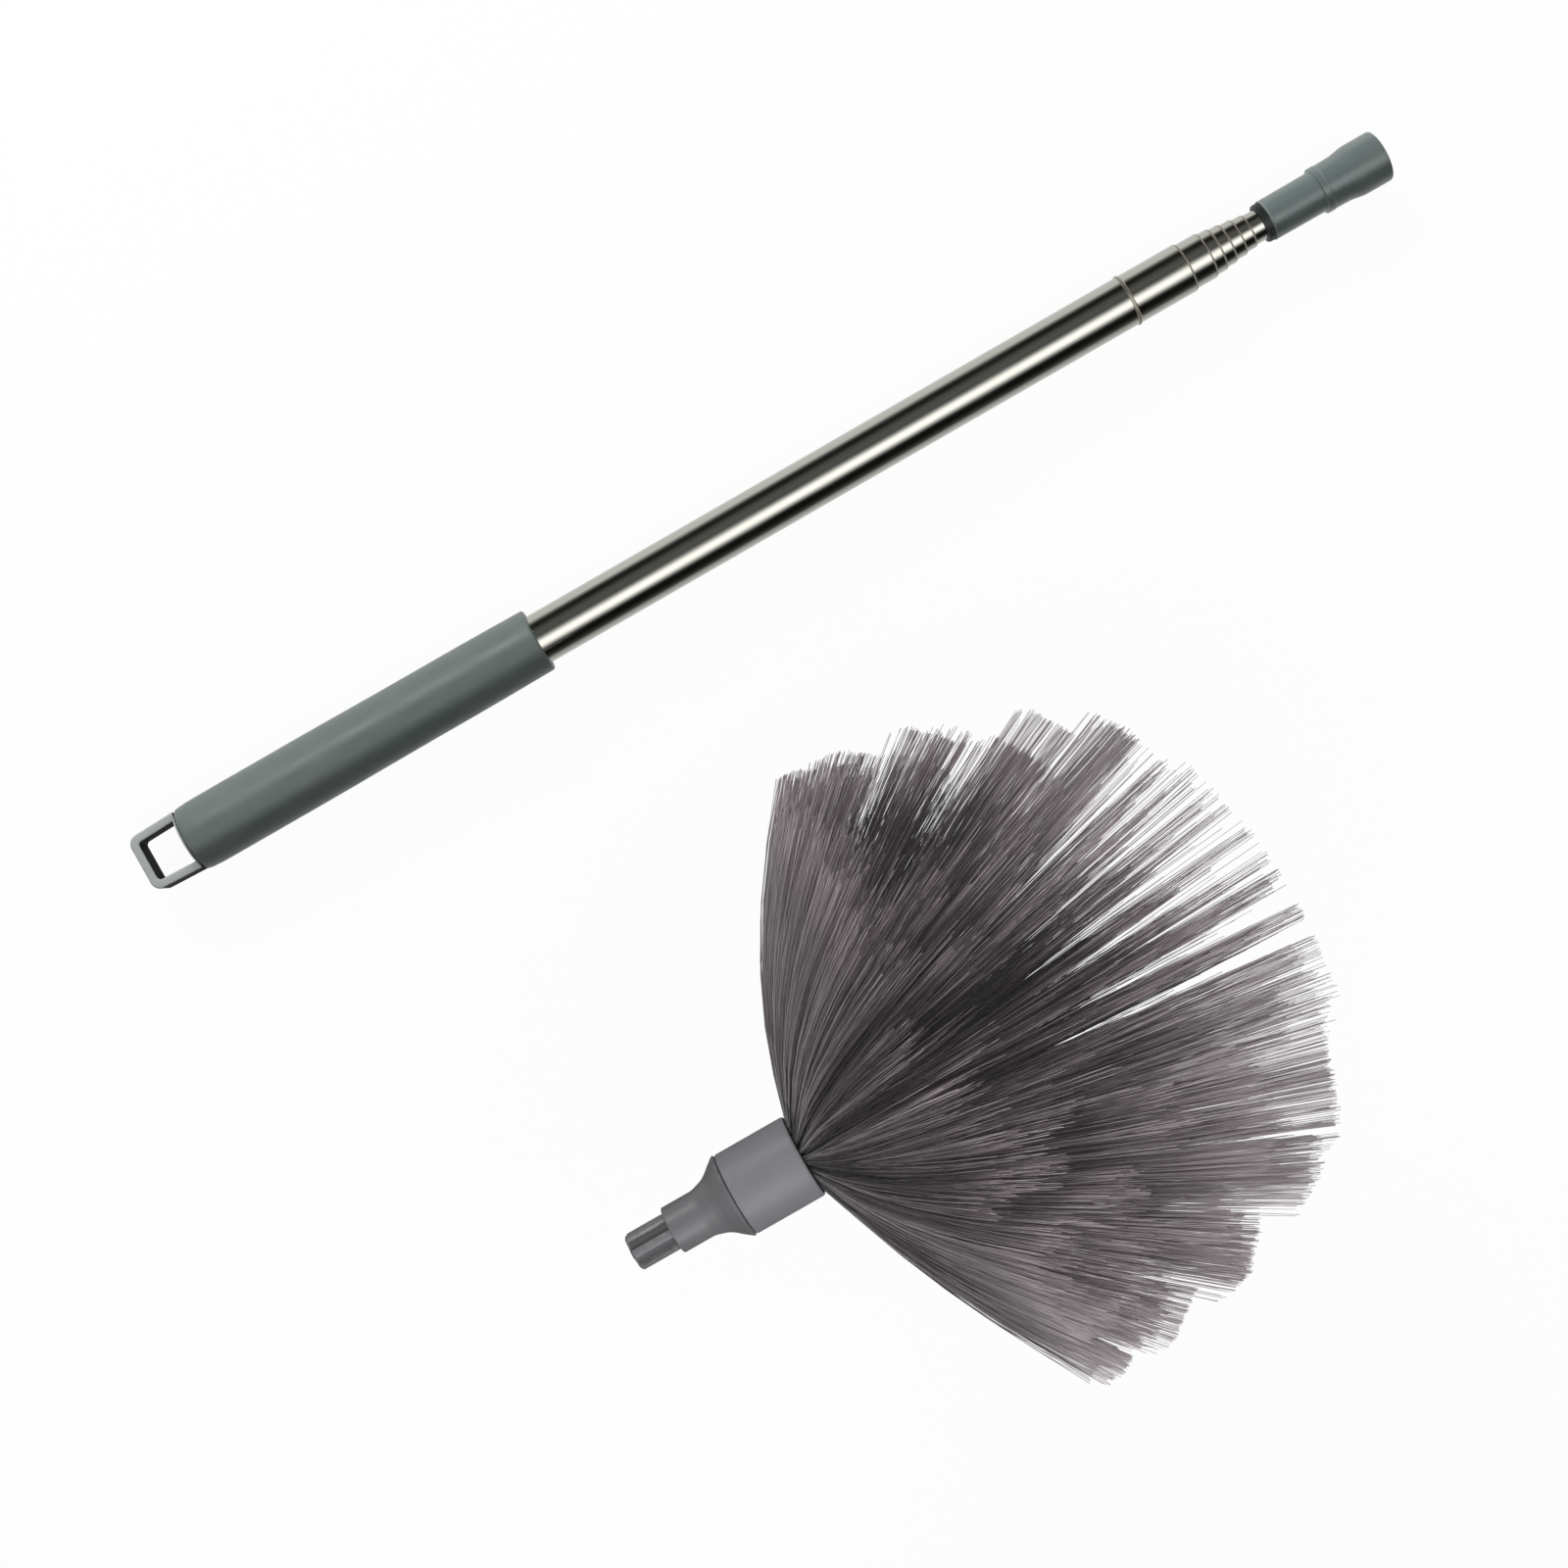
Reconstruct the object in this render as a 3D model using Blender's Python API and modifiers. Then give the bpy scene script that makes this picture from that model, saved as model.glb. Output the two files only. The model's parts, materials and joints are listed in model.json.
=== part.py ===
"""Telescopic duster: a collapsing pole of seven steel tubes and a push-on bristle head.

The collapsed pole lies along +X. The origin is the middle of the hanging loop's outer
end face and +Z is up. The head lies beside the pole, towards -Y, with its own axis
parallel to the pole, and both rest on one level. All sizes are in metres.
"""

import math
import random

import bpy
import bmesh
from mathutils import Vector

OBJECT_NAME = "telescopic_duster"

# Gaps between pieces
SEAT_GAP = 0.0003
PLUG_CLEARANCE = 0.00045
SCREW_CLEARANCE = 0.0003
CUT_OVERRUN = 0.0010

# How finely round pieces are divided
TUBE_SIDES = 24
SCREW_SIDES = 12
ARC_STEPS = 5
SMOOTH_ANGLE = math.radians(32)
WELD_DISTANCE = 0.00001

# Hanging loop: a flat frame, a round flange against the grip and a spigot in tube 1
LOOP_LENGTH = 0.0216
LOOP_END_WIDTH = 0.0250
LOOP_ROOT_WIDTH = 0.0266
LOOP_THICKNESS = 0.0135
LOOP_BAR = 0.0037
LOOP_CORNER_RADIUS = 0.0044
LOOP_WINDOW_RADIUS = 0.0018
LOOP_EDGE_ROUND = 0.0007
LOOP_FLANGE_THICKNESS = 0.0008
LOOP_FLANGE_DIAMETER = 0.0268
SPIGOT_LENGTH = 0.0240
SPIGOT_WALL = 0.0016

# Hand grip: stations as shares of its length, with the share of its swell at each
GRIP_LENGTH = 0.1695
GRIP_END_DIAMETER = 0.0283
GRIP_SWELL = 0.0007
GRIP_SWELL_SHARES = (
    (0.04, 0.90),
    (0.12, 1.0),
    (0.25, 1.0),
    (0.42, 0.92),
    (0.58, 0.60),
    (0.82, 0.48),
    (0.96, 0.1),
)
GRIP_EDGE_ROUND = 0.0012

# Tubes, from the outermost to the innermost
TUBE_COUNT = 7
TUBE_1_DIAMETER = 0.0220
TUBE_1_LENGTH = 0.4835
TUBE_WALL = 0.00035
TUBE_GAP = 0.00035
REAR_ROOM = 0.0273
FRONT_STEPS = (0.0101, 0.0051, 0.0050, 0.0053, 0.0051)
LIP_LENGTH = 0.0012
LIP_GAP = 0.00015
LIP_ROUND = 0.00025
STOP_SETBACK = 0.0282
STOP_WIDTH = 0.0020
BEAD_HEIGHT = 0.00045
GROOVE_DEPTH = 0.00012

# Bush at the rear of each inner tube: a flange behind the tube and a ring in its bore
BUSH_FLANGE_LENGTH = 0.0030
BUSH_BODY_LENGTH = 0.0050
BUSH_RUNNING_GAP = 0.0001
BUSH_WALL = 0.0012

# Socket sleeve on the tip of tube 7
TUBE_7_SHOWING = 0.0052
SOCKET_LENGTH = 0.0580
SOCKET_REAR_DIAMETER = 0.0179
SOCKET_RIDGE_STATION = 0.0277
SOCKET_RIDGE_WIDTH = 0.0030
SOCKET_RIDGE_DIAMETER = 0.0206
SOCKET_WAIST_DIAMETER = 0.0202
SOCKET_MOUTH_DIAMETER = 0.0227
SOCKET_FLARE_SHARES = ((0.0, 0.0), (0.27, 0.12), (0.37, 0.40), (0.46, 0.78), (0.56, 1.0))
SOCKET_EDGE_ROUND = 0.0012
SOCKET_DEPTH = 0.0193
SOCKET_WEB = 0.0020
SOCKET_WEB_BORE = 0.0100

# Adapter of the head: ribbed plug, neck and flare
PLUG_DIAMETER = 0.0152
PLUG_LENGTH = 0.0170
PLUG_CORE_DIAMETER = 0.0122
PLUG_BORE_DIAMETER = 0.0086
PLUG_RIB_COUNT = 6
PLUG_RIB_WIDTH = 0.0032
PLUG_LEAD_IN = 0.0010
NECK_DIAMETER = 0.0189
NECK_LENGTH = 0.0126
NECK_EDGE_ROUND = 0.0006
NECK_WEB = 0.0030
FLARE_LENGTH = 0.0145
FLARE_DIAMETER = 0.0339
FLARE_SHARES = (
    (0.0, 0.0),
    (0.18, 0.08),
    (0.37, 0.20),
    (0.53, 0.38),
    (0.68, 0.62),
    (0.84, 0.86),
    (0.95, 1.0),
    (1.0, 1.0),
)
ADAPTER_WALL = 0.0018

# Ferrule: a cup with a holed floor
FERRULE_DIAMETER = 0.0333
FERRULE_LENGTH = 0.0292
FERRULE_WALL = 0.0012
FERRULE_FLOOR = 0.0020
FERRULE_EDGE_ROUND = 0.0005

# Bristle block: a round core with a post, and six slices round it
CORE_DIAMETER = 0.0084
BLOCK_PROUD = 0.0009
SLICE_COUNT = 6
SLICE_ARC_STEPS = 6

# Screw that draws the core's post against the neck's web
SCREW_DIAMETER = 0.0036
SCREW_LENGTH = 0.0180
SCREW_HEAD_DIAMETER = 0.0070
SCREW_HEAD_HEIGHT = 0.0024
SCREW_SLOT_WIDTH = 0.0010
SCREW_SLOT_DEPTH = 0.0010

# Strands: the dome they fill and how they stand in the block
DOME_DEPTH = 0.2060
DOME_HALF_WIDTH = 0.1300
DOME_SQUARENESS = 2.8
TIP_ANGLE = math.radians(71)
LEAVE_ANGLE = math.radians(79)
OUTER_RING_RADIUS = 0.0140
RING_COUNT = 7
RING_PITCH = 0.0015
STRAND_PITCH = 0.00130
CORE_RING_STRANDS = (1, 6, 12)
CORE_RING_PITCH = 0.0015
STRAND_ROOT_RADIUS = 0.00042
STRAND_TIP_RADIUS = 0.00125
STRAND_SIDES = 3
STRAND_EMBED = 0.0006
STRAND_BOW_SHARE = 0.45
STRAND_STATION_SHARES = (0.0, 0.30, 0.65, 1.0)
TIP_SCATTER_SHARE = 0.22
LENGTH_SCATTER_SHARE = 0.025
SCATTER_SEED = 7

# Where the head lies beside the pole
HEAD_STATION = 0.1166
HEAD_SPACING = 0.2326

# Sizes that follow from the ones above
LOOP_END_STATION = LOOP_LENGTH + LOOP_FLANGE_THICKNESS
POLE_START = LOOP_END_STATION + SEAT_GAP
GRIP_RADIUS = GRIP_END_DIAMETER / 2 + GRIP_SWELL
TUBE_STEP = TUBE_WALL + TUBE_GAP
TUBE_1_FRONT = POLE_START + TUBE_1_LENGTH
BUSH_PITCH = BUSH_FLANGE_LENGTH + BUSH_BODY_LENGTH + 2 * SEAT_GAP
STOP_1_STATION = TUBE_1_FRONT - STOP_SETBACK
TUBE_2_REAR = LOOP_END_STATION + SPIGOT_LENGTH + REAR_ROOM + BUSH_FLANGE_LENGTH + SEAT_GAP
TUBE_TRAVEL = STOP_1_STATION - STOP_WIDTH / 2 - TUBE_2_REAR
SOCKET_START = TUBE_1_FRONT + sum(FRONT_STEPS) + TUBE_7_SHOWING
SOCKET_MOUTH = SOCKET_START + SOCKET_LENGTH
TUBE_7_FRONT = SOCKET_MOUTH - SOCKET_DEPTH - SOCKET_WEB - SEAT_GAP
SOCKET_BORE_RADIUS = PLUG_DIAMETER / 2 + PLUG_CLEARANCE
NECK_END = PLUG_LENGTH + NECK_LENGTH
FLARE_END = NECK_END + FLARE_LENGTH
FERRULE_START = FLARE_END + SEAT_GAP
FERRULE_END = FERRULE_START + FERRULE_LENGTH
FERRULE_BORE_RADIUS = FERRULE_DIAMETER / 2 - FERRULE_WALL
BLOCK_START = FERRULE_START + FERRULE_FLOOR + SEAT_GAP
BLOCK_FACE = FERRULE_END + BLOCK_PROUD
BLOCK_RADIUS = FERRULE_BORE_RADIUS - SEAT_GAP
WEB_START = PLUG_LENGTH
WEB_END = WEB_START + NECK_WEB
POST_START = WEB_END + SEAT_GAP
SCREW_HOLE_RADIUS = SCREW_DIAMETER / 2 + SCREW_CLEARANCE
SCREW_HEAD_START = WEB_START - SEAT_GAP - SCREW_HEAD_HEIGHT


def tube_radius(number):
    """Outer radius of a tube, counted from 1 at the outside."""
    return TUBE_1_DIAMETER / 2 - (number - 1) * TUBE_STEP


def tube_rear(number):
    """Station of a tube's rear end."""
    if number == 1:
        return POLE_START
    return TUBE_2_REAR + (number - 2) * BUSH_PITCH


def tube_front(number):
    """Station of a tube's front end."""
    if number == TUBE_COUNT:
        return TUBE_7_FRONT
    return TUBE_1_FRONT + sum(FRONT_STEPS[:number - 1])


def stop_station(number):
    """Station of the rolled stop in a tube, which the next tube's bush meets."""
    return STOP_1_STATION + (number - 1) * BUSH_PITCH


def clear_scene():
    """Remove every object that the file already holds."""
    for obj in list(bpy.data.objects):
        bpy.data.objects.remove(obj, do_unlink=True)


def new_collection(name):
    """Make a collection in the scene."""
    collection = bpy.data.collections.new(name)
    bpy.context.scene.collection.children.link(collection)
    return collection


def new_material(name, colour, roughness, metallic=0.0):
    """Make a plain Principled material."""
    material = bpy.data.materials.new(name)
    material.use_nodes = True
    shader = material.node_tree.nodes["Principled BSDF"]
    shader.inputs["Base Color"].default_value = (*colour, 1.0)
    shader.inputs["Roughness"].default_value = roughness
    shader.inputs["Metallic"].default_value = metallic
    return material


def new_object(name, data, collection, parent=None, material=None):
    """Put data in the scene under a name."""
    obj = bpy.data.objects.new(name, data)
    collection.objects.link(obj)
    obj.parent = parent
    if material is not None:
        data.materials.append(material)
    return obj


def new_empty(name, collection):
    """Make the empty that a group of pieces is placed by."""
    empty = bpy.data.objects.new(name, None)
    collection.objects.link(empty)
    return empty


def along_pole(obj, station):
    """Turn a piece made along its own Z onto the pole's line, starting at a station."""
    obj.rotation_euler = (0.0, math.pi / 2, 0.0)
    obj.location = (station, 0.0, 0.0)


def as_cutter(obj):
    """Mark an object as a tool for Boolean modifiers."""
    obj.hide_render = True
    obj.display_type = "WIRE"


def add_boolean(obj, tool, operation):
    """Cut or join a piece with a tool object."""
    modifier = obj.modifiers.new(tool.name, "BOOLEAN")
    modifier.operation = operation
    modifier.solver = "EXACT"
    modifier.object = tool


def add_bevel(obj, width, segments=2):
    """Round the sharp edges of a piece."""
    modifier = obj.modifiers.new("edges", "BEVEL")
    modifier.width = width
    modifier.segments = segments
    modifier.limit_method = "ANGLE"
    modifier.angle_limit = SMOOTH_ANGLE


def shade_round(mesh):
    """Shade a mesh smooth between its sharp edges."""
    mesh.shade_smooth()
    mesh.set_sharp_from_angle(angle=SMOOTH_ANGLE)


def settle(obj):
    """Replace an object's data with its evaluated mesh, welded and shaded."""
    bpy.context.view_layer.update()
    evaluated = obj.evaluated_get(bpy.context.evaluated_depsgraph_get())
    mesh = bpy.data.meshes.new_from_object(evaluated)
    mesh.name = obj.name
    work = bmesh.new()
    work.from_mesh(mesh)
    bmesh.ops.remove_doubles(work, verts=work.verts, dist=WELD_DISTANCE)
    bmesh.ops.dissolve_degenerate(work, edges=work.edges, dist=WELD_DISTANCE)
    bmesh.ops.recalc_face_normals(work, faces=work.faces)
    work.to_mesh(mesh)
    work.free()
    shade_round(mesh)
    if obj.type == "MESH":
        obj.modifiers.clear()
        obj.data = mesh
        return obj
    solid = bpy.data.objects.new(obj.name, mesh)
    for collection in obj.users_collection:
        collection.objects.link(solid)
    solid.parent = obj.parent
    solid.rotation_euler = obj.rotation_euler
    solid.location = obj.location
    name = obj.name
    bpy.data.objects.remove(obj, do_unlink=True)
    solid.name = name
    return solid


def turned(name, profile, collection, parent=None, material=None, sides=TUBE_SIDES, closed=True):
    """Turn a profile of (station, radius) points about its own Z.

    The profile runs down the outer side from the highest station. A closed profile
    is the section of a ring, and an open one starts and ends on the axis.
    """
    mesh = bpy.data.meshes.new(name)
    points = [(radius, 0.0, station) for station, radius in profile]
    count = len(points)
    edges = [(index, index + 1) for index in range(count - 1)]
    if closed:
        edges.append((count - 1, 0))
    mesh.from_pydata(points, edges, [])
    obj = new_object(name, mesh, collection, parent, material)
    screw = obj.modifiers.new("turn", "SCREW")
    screw.axis = "Z"
    screw.steps = sides
    screw.render_steps = sides
    screw.use_merge_vertices = True
    screw.merge_threshold = WELD_DISTANCE
    screw.use_smooth_shade = True
    return obj


def extruded(name, outline, thickness, collection, parent=None, material=None):
    """Extrude a flat outline along its own Z, from the origin upwards."""
    curve = bpy.data.curves.new(name, "CURVE")
    curve.dimensions = "2D"
    curve.fill_mode = "BOTH"
    curve.extrude = thickness / 2
    for loop in outline:
        spline = curve.splines.new("POLY")
        spline.points.add(len(loop) - 1)
        for point, (across, up) in zip(spline.points, loop):
            point.co = (across, up, 0.0, 1.0)
        spline.use_cyclic_u = True
    obj = new_object(name, curve, collection, parent, material)
    solid = settle(obj)
    for vertex in solid.data.vertices:
        vertex.co.z += thickness / 2
    return solid


def arc(centre_x, centre_y, radius, start, end, steps=ARC_STEPS):
    """Points along an arc, with angles in degrees."""
    points = []
    for index in range(steps + 1):
        angle = math.radians(start + (end - start) * index / steps)
        points.append((centre_x + radius * math.cos(angle), centre_y + radius * math.sin(angle)))
    return points


def rounded_corner(station, radius, round_size, front=True):
    """Three points that round the outer corner of a turned end, listed front to rear."""
    slope = round_size * (1 - math.sqrt(0.5))
    inward = -1 if front else 1
    points = [
        (station, radius - round_size),
        (station + inward * slope, radius - slope),
        (station + inward * round_size, radius),
    ]
    return points if front else points[::-1]


def build_materials():
    """The finishes of the pieces."""
    return {
        "grip": new_material("grip_plastic", (0.155, 0.186, 0.178), 0.42),
        "loop": new_material("loop_plastic", (0.36, 0.38, 0.37), 0.40),
        "steel": new_material("tube_steel", (0.78, 0.77, 0.74), 0.10, 1.0),
        "bush": new_material("bush_nylon", (0.80, 0.80, 0.76), 0.45),
        "socket": new_material("socket_plastic", (0.125, 0.155, 0.158), 0.38),
        "head": new_material("head_plastic", (0.215, 0.215, 0.228), 0.45),
        "block": new_material("bristle_fibre", (0.115, 0.100, 0.102), 0.50),
        "screw": new_material("screw_steel", (0.62, 0.62, 0.60), 0.30, 1.0),
    }


def loop_outline():
    """Outer edge and window of the hanging loop, as (station, across) points."""
    end_half = LOOP_END_WIDTH / 2
    root_half = LOOP_ROOT_WIDTH / 2
    corner = LOOP_CORNER_RADIUS
    outer = arc(corner, end_half - corner, corner, 180, 90)
    outer += [(LOOP_END_STATION, root_half), (LOOP_END_STATION, -root_half)]
    outer += arc(corner, corner - end_half, corner, 270, 180)
    small = LOOP_WINDOW_RADIUS
    window_rear = LOOP_BAR
    window_front = LOOP_LENGTH
    rear_half = end_half - LOOP_BAR
    front_half = root_half - LOOP_BAR - (root_half - end_half) * LOOP_BAR / LOOP_LENGTH
    window = arc(window_rear + small, rear_half - small, small, 180, 90)
    window += arc(window_front - small, front_half - small, small, 90, 0)
    window += arc(window_front - small, small - front_half, small, 0, -90)
    window += arc(window_rear + small, small - rear_half, small, 270, 180)
    return [outer, window]


def build_loop(collection, cutters, material):
    """Hanging loop: rounded frame, flange and hollow spigot in one moulding."""
    loop = extruded("hanging_loop", loop_outline(), LOOP_THICKNESS, collection, None, material)
    loop.location = (0.0, 0.0, -LOOP_THICKNESS / 2)
    add_bevel(loop, LOOP_EDGE_ROUND)
    loop = settle(loop)

    spigot_radius = tube_radius(1) - TUBE_WALL - SEAT_GAP
    flange_radius = LOOP_FLANGE_DIAMETER / 2
    spigot_end = LOOP_FLANGE_THICKNESS + SPIGOT_LENGTH
    profile = [
        (LOOP_FLANGE_THICKNESS, 0.0),
        (LOOP_FLANGE_THICKNESS, spigot_radius - SPIGOT_WALL),
        (spigot_end, spigot_radius - SPIGOT_WALL),
        (spigot_end, spigot_radius),
        (LOOP_FLANGE_THICKNESS, spigot_radius),
        (LOOP_FLANGE_THICKNESS, flange_radius),
        (0.0, flange_radius),
        (0.0, 0.0),
    ]
    spigot = turned("loop_spigot", profile, cutters, closed=False)
    along_pole(spigot, LOOP_LENGTH)
    spigot = settle(spigot)
    as_cutter(spigot)
    add_boolean(loop, spigot, "UNION")
    return loop


def build_grip(collection, material):
    """Hand grip: a swelling sleeve on the rear of tube 1."""
    bore = tube_radius(1) + SEAT_GAP
    end_radius = GRIP_END_DIAMETER / 2
    profile = [(GRIP_LENGTH, bore)]
    profile += rounded_corner(GRIP_LENGTH, end_radius, GRIP_EDGE_ROUND)
    for share, swell in reversed(GRIP_SWELL_SHARES):
        profile.append((GRIP_LENGTH * share, end_radius + GRIP_SWELL * swell))
    profile += rounded_corner(0.0, end_radius, GRIP_EDGE_ROUND, front=False)
    profile.append((0.0, bore))
    grip = turned("handle_grip", profile, collection, None, material)
    along_pole(grip, POLE_START)
    return settle(grip)


def tube_profile(number):
    """Section of one tube: lip, stop and plain rear end."""
    outer = tube_radius(number)
    inner = outer - TUBE_WALL
    length = tube_front(number) - tube_rear(number)
    if number == TUBE_COUNT:
        return [(length, inner), (length, outer), (0.0, outer), (0.0, inner)]

    throat = tube_radius(number + 1) + LIP_GAP
    stop = stop_station(number) - tube_rear(number)
    half = STOP_WIDTH / 2
    mark = BEAD_HEIGHT if number == 1 else -GROOVE_DEPTH
    profile = [
        (length, throat),
        (length, outer - LIP_ROUND),
        (length - LIP_ROUND, outer),
        (stop + half, outer),
        (stop, outer + mark),
        (stop - half, outer),
        (0.0, outer),
        (0.0, inner),
        (stop - half, inner),
        (stop, throat),
        (stop + half, inner),
        (length - LIP_LENGTH, inner),
        (length - LIP_LENGTH, throat),
    ]
    return profile


def build_tubes(collection, material):
    """The seven tubes, each a little further forward than the one round it."""
    tubes = []
    for number in range(1, TUBE_COUNT + 1):
        tube = turned(f"tube_{number}", tube_profile(number), collection, None, material)
        along_pole(tube, tube_rear(number))
        tubes.append(settle(tube))
    return tubes


def build_bushes(collection, material):
    """Rear bushes: each runs in the outer tube's bore and holds the inner tube's rear."""
    for number in range(2, TUBE_COUNT + 1):
        flange_radius = tube_radius(number - 1) - TUBE_WALL - BUSH_RUNNING_GAP
        body_radius = tube_radius(number) - TUBE_WALL - SEAT_GAP
        length = BUSH_FLANGE_LENGTH + SEAT_GAP + BUSH_BODY_LENGTH
        profile = [
            (length, body_radius - BUSH_WALL),
            (length, body_radius),
            (BUSH_FLANGE_LENGTH, body_radius),
            (BUSH_FLANGE_LENGTH, flange_radius),
            (0.0, flange_radius),
            (0.0, body_radius - BUSH_WALL),
        ]
        bush = turned(f"rear_bush_{number}", profile, collection, None, material)
        along_pole(bush, tube_rear(number) - SEAT_GAP - BUSH_FLANGE_LENGTH)
        settle(bush)


def build_socket(collection, material):
    """Socket sleeve: grips tube 7 at its rear and takes the head's plug at its mouth."""
    mouth = SOCKET_MOUTH_DIAMETER / 2
    waist = SOCKET_WAIST_DIAMETER / 2
    rear = SOCKET_REAR_DIAMETER / 2
    ridge = SOCKET_RIDGE_DIAMETER / 2
    ridge_end = SOCKET_RIDGE_STATION + SOCKET_RIDGE_WIDTH
    flare_length = SOCKET_LENGTH - ridge_end
    web_end = SOCKET_LENGTH - SOCKET_DEPTH
    web_start = web_end - SOCKET_WEB
    tube_bore = tube_radius(TUBE_COUNT) + SEAT_GAP

    profile = [(SOCKET_LENGTH, SOCKET_BORE_RADIUS)]
    profile += rounded_corner(SOCKET_LENGTH, mouth, SOCKET_EDGE_ROUND)
    for share, growth in reversed(SOCKET_FLARE_SHARES):
        profile.append((ridge_end + flare_length * share, waist + (mouth - waist) * growth))
    profile += [
        (ridge_end - SOCKET_RIDGE_WIDTH / 3, ridge),
        (SOCKET_RIDGE_STATION + SOCKET_RIDGE_WIDTH / 3, ridge),
        (SOCKET_RIDGE_STATION, rear),
        (0.0, rear),
        (0.0, tube_bore),
        (web_start, tube_bore),
        (web_start, SOCKET_WEB_BORE / 2),
        (web_end, SOCKET_WEB_BORE / 2),
        (web_end, SOCKET_BORE_RADIUS),
    ]
    socket = turned("tip_socket", profile, collection, None, material)
    along_pole(socket, SOCKET_START)
    return settle(socket)


def build_adapter(collection, cutters, frame, material):
    """Adapter: hollow ribbed plug, neck with a screw web, and a flare for the ferrule."""
    core = PLUG_CORE_DIAMETER / 2
    bore = PLUG_BORE_DIAMETER / 2
    neck = NECK_DIAMETER / 2
    flare = FLARE_DIAMETER / 2
    post_hole = CORE_DIAMETER / 2 + SEAT_GAP
    slope = NECK_EDGE_ROUND

    profile = [(FLARE_END, flare - ADAPTER_WALL)]
    for share, growth in reversed(FLARE_SHARES):
        profile.append((NECK_END + FLARE_LENGTH * share, neck + (flare - neck) * growth))
    profile += [
        (PLUG_LENGTH + slope, neck),
        (PLUG_LENGTH, neck - slope),
        (PLUG_LENGTH, core),
        (0.0, core),
        (0.0, bore),
        (WEB_START, bore),
        (WEB_START, SCREW_HOLE_RADIUS),
        (WEB_END, SCREW_HOLE_RADIUS),
        (WEB_END, post_hole),
        (NECK_END, post_hole),
        (FLARE_END - ADAPTER_WALL, flare - ADAPTER_WALL * 2),
    ]
    adapter = turned("plug_adapter", profile, collection, frame, material)
    along_pole(adapter, 0.0)
    adapter = settle(adapter)

    depth = (PLUG_DIAMETER - PLUG_BORE_DIAMETER) / 2 - ADAPTER_WALL / 2
    for index in range(PLUG_RIB_COUNT):
        angle = 2 * math.pi * index / PLUG_RIB_COUNT
        bpy.ops.mesh.primitive_cube_add(size=1.0)
        rib = bpy.context.active_object
        rib.name = f"plug_rib_{index + 1}"
        move_to(rib, cutters)
        length = PLUG_LENGTH + slope
        for vertex in rib.data.vertices:
            lead = PLUG_LEAD_IN if vertex.co.z < 0 and vertex.co.x > 0 else 0.0
            vertex.co = Vector((
                vertex.co.x * depth + PLUG_DIAMETER / 2 - depth / 2 - lead,
                vertex.co.y * PLUG_RIB_WIDTH,
                (vertex.co.z + 1 / 2) * length,
            ))
        turn_about_z(rib.data, angle)
        rib.parent = frame
        along_pole(rib, 0.0)
        as_cutter(rib)
        add_boolean(adapter, rib, "UNION")
    return adapter


def move_to(obj, collection):
    """Move an object that an operator made into a collection."""
    for home in list(obj.users_collection):
        home.objects.unlink(obj)
    collection.objects.link(obj)


def turn_about_z(mesh, angle):
    """Turn a mesh's points about its own Z."""
    cosine = math.cos(angle)
    sine = math.sin(angle)
    for vertex in mesh.vertices:
        x, y, z = vertex.co
        vertex.co = Vector((x * cosine - y * sine, x * sine + y * cosine, z))


def build_ferrule(collection, frame, material):
    """Ferrule: the cup that holds the bristle block."""
    outer = FERRULE_DIAMETER / 2
    post_hole = CORE_DIAMETER / 2 + SEAT_GAP
    profile = [(FERRULE_LENGTH, FERRULE_BORE_RADIUS)]
    profile += rounded_corner(FERRULE_LENGTH, outer, FERRULE_EDGE_ROUND)
    profile += rounded_corner(0.0, outer, FERRULE_EDGE_ROUND, front=False)
    profile += [
        (0.0, post_hole),
        (FERRULE_FLOOR, post_hole),
        (FERRULE_FLOOR, FERRULE_BORE_RADIUS),
    ]
    ferrule = turned("ferrule", profile, collection, frame, material)
    along_pole(ferrule, FERRULE_START)
    return settle(ferrule)


def build_screw(collection, cutters, frame, material):
    """Hub screw: head in the plug's bore, shank through the web into the core's post."""
    head = SCREW_HEAD_DIAMETER / 2
    shank = SCREW_DIAMETER / 2
    total = SCREW_HEAD_HEIGHT + SCREW_LENGTH
    profile = [
        (total, 0.0),
        (total - shank, shank),
        (SCREW_HEAD_HEIGHT, shank),
        (SCREW_HEAD_HEIGHT, head),
        (SCREW_HEAD_HEIGHT / 3, head),
        (0.0, head * 2 / 3),
        (0.0, 0.0),
    ]
    screw = turned("hub_screw", profile, collection, frame, material, SCREW_SIDES, closed=False)
    along_pole(screw, SCREW_HEAD_START)
    screw = settle(screw)
    bpy.ops.mesh.primitive_cube_add(size=1.0)
    slot = bpy.context.active_object
    slot.name = "screw_slot"
    move_to(slot, cutters)
    for vertex in slot.data.vertices:
        vertex.co = Vector((
            vertex.co.x * (SCREW_HEAD_DIAMETER + CUT_OVERRUN),
            vertex.co.y * SCREW_SLOT_WIDTH,
            (vertex.co.z + 1 / 2) * (SCREW_SLOT_DEPTH + CUT_OVERRUN) - CUT_OVERRUN,
        ))
    slot.parent = frame
    along_pole(slot, SCREW_HEAD_START)
    as_cutter(slot)
    add_boolean(screw, slot, "DIFFERENCE")
    return screw


def dome_radius(angle):
    """Distance from the block's face centre to the trimmed dome, at an angle off its axis."""
    along = abs(math.cos(angle) / DOME_DEPTH) ** DOME_SQUARENESS
    across = abs(math.sin(angle) / DOME_HALF_WIDTH) ** DOME_SQUARENESS
    return (along + across) ** (-1 / DOME_SQUARENESS)


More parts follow.
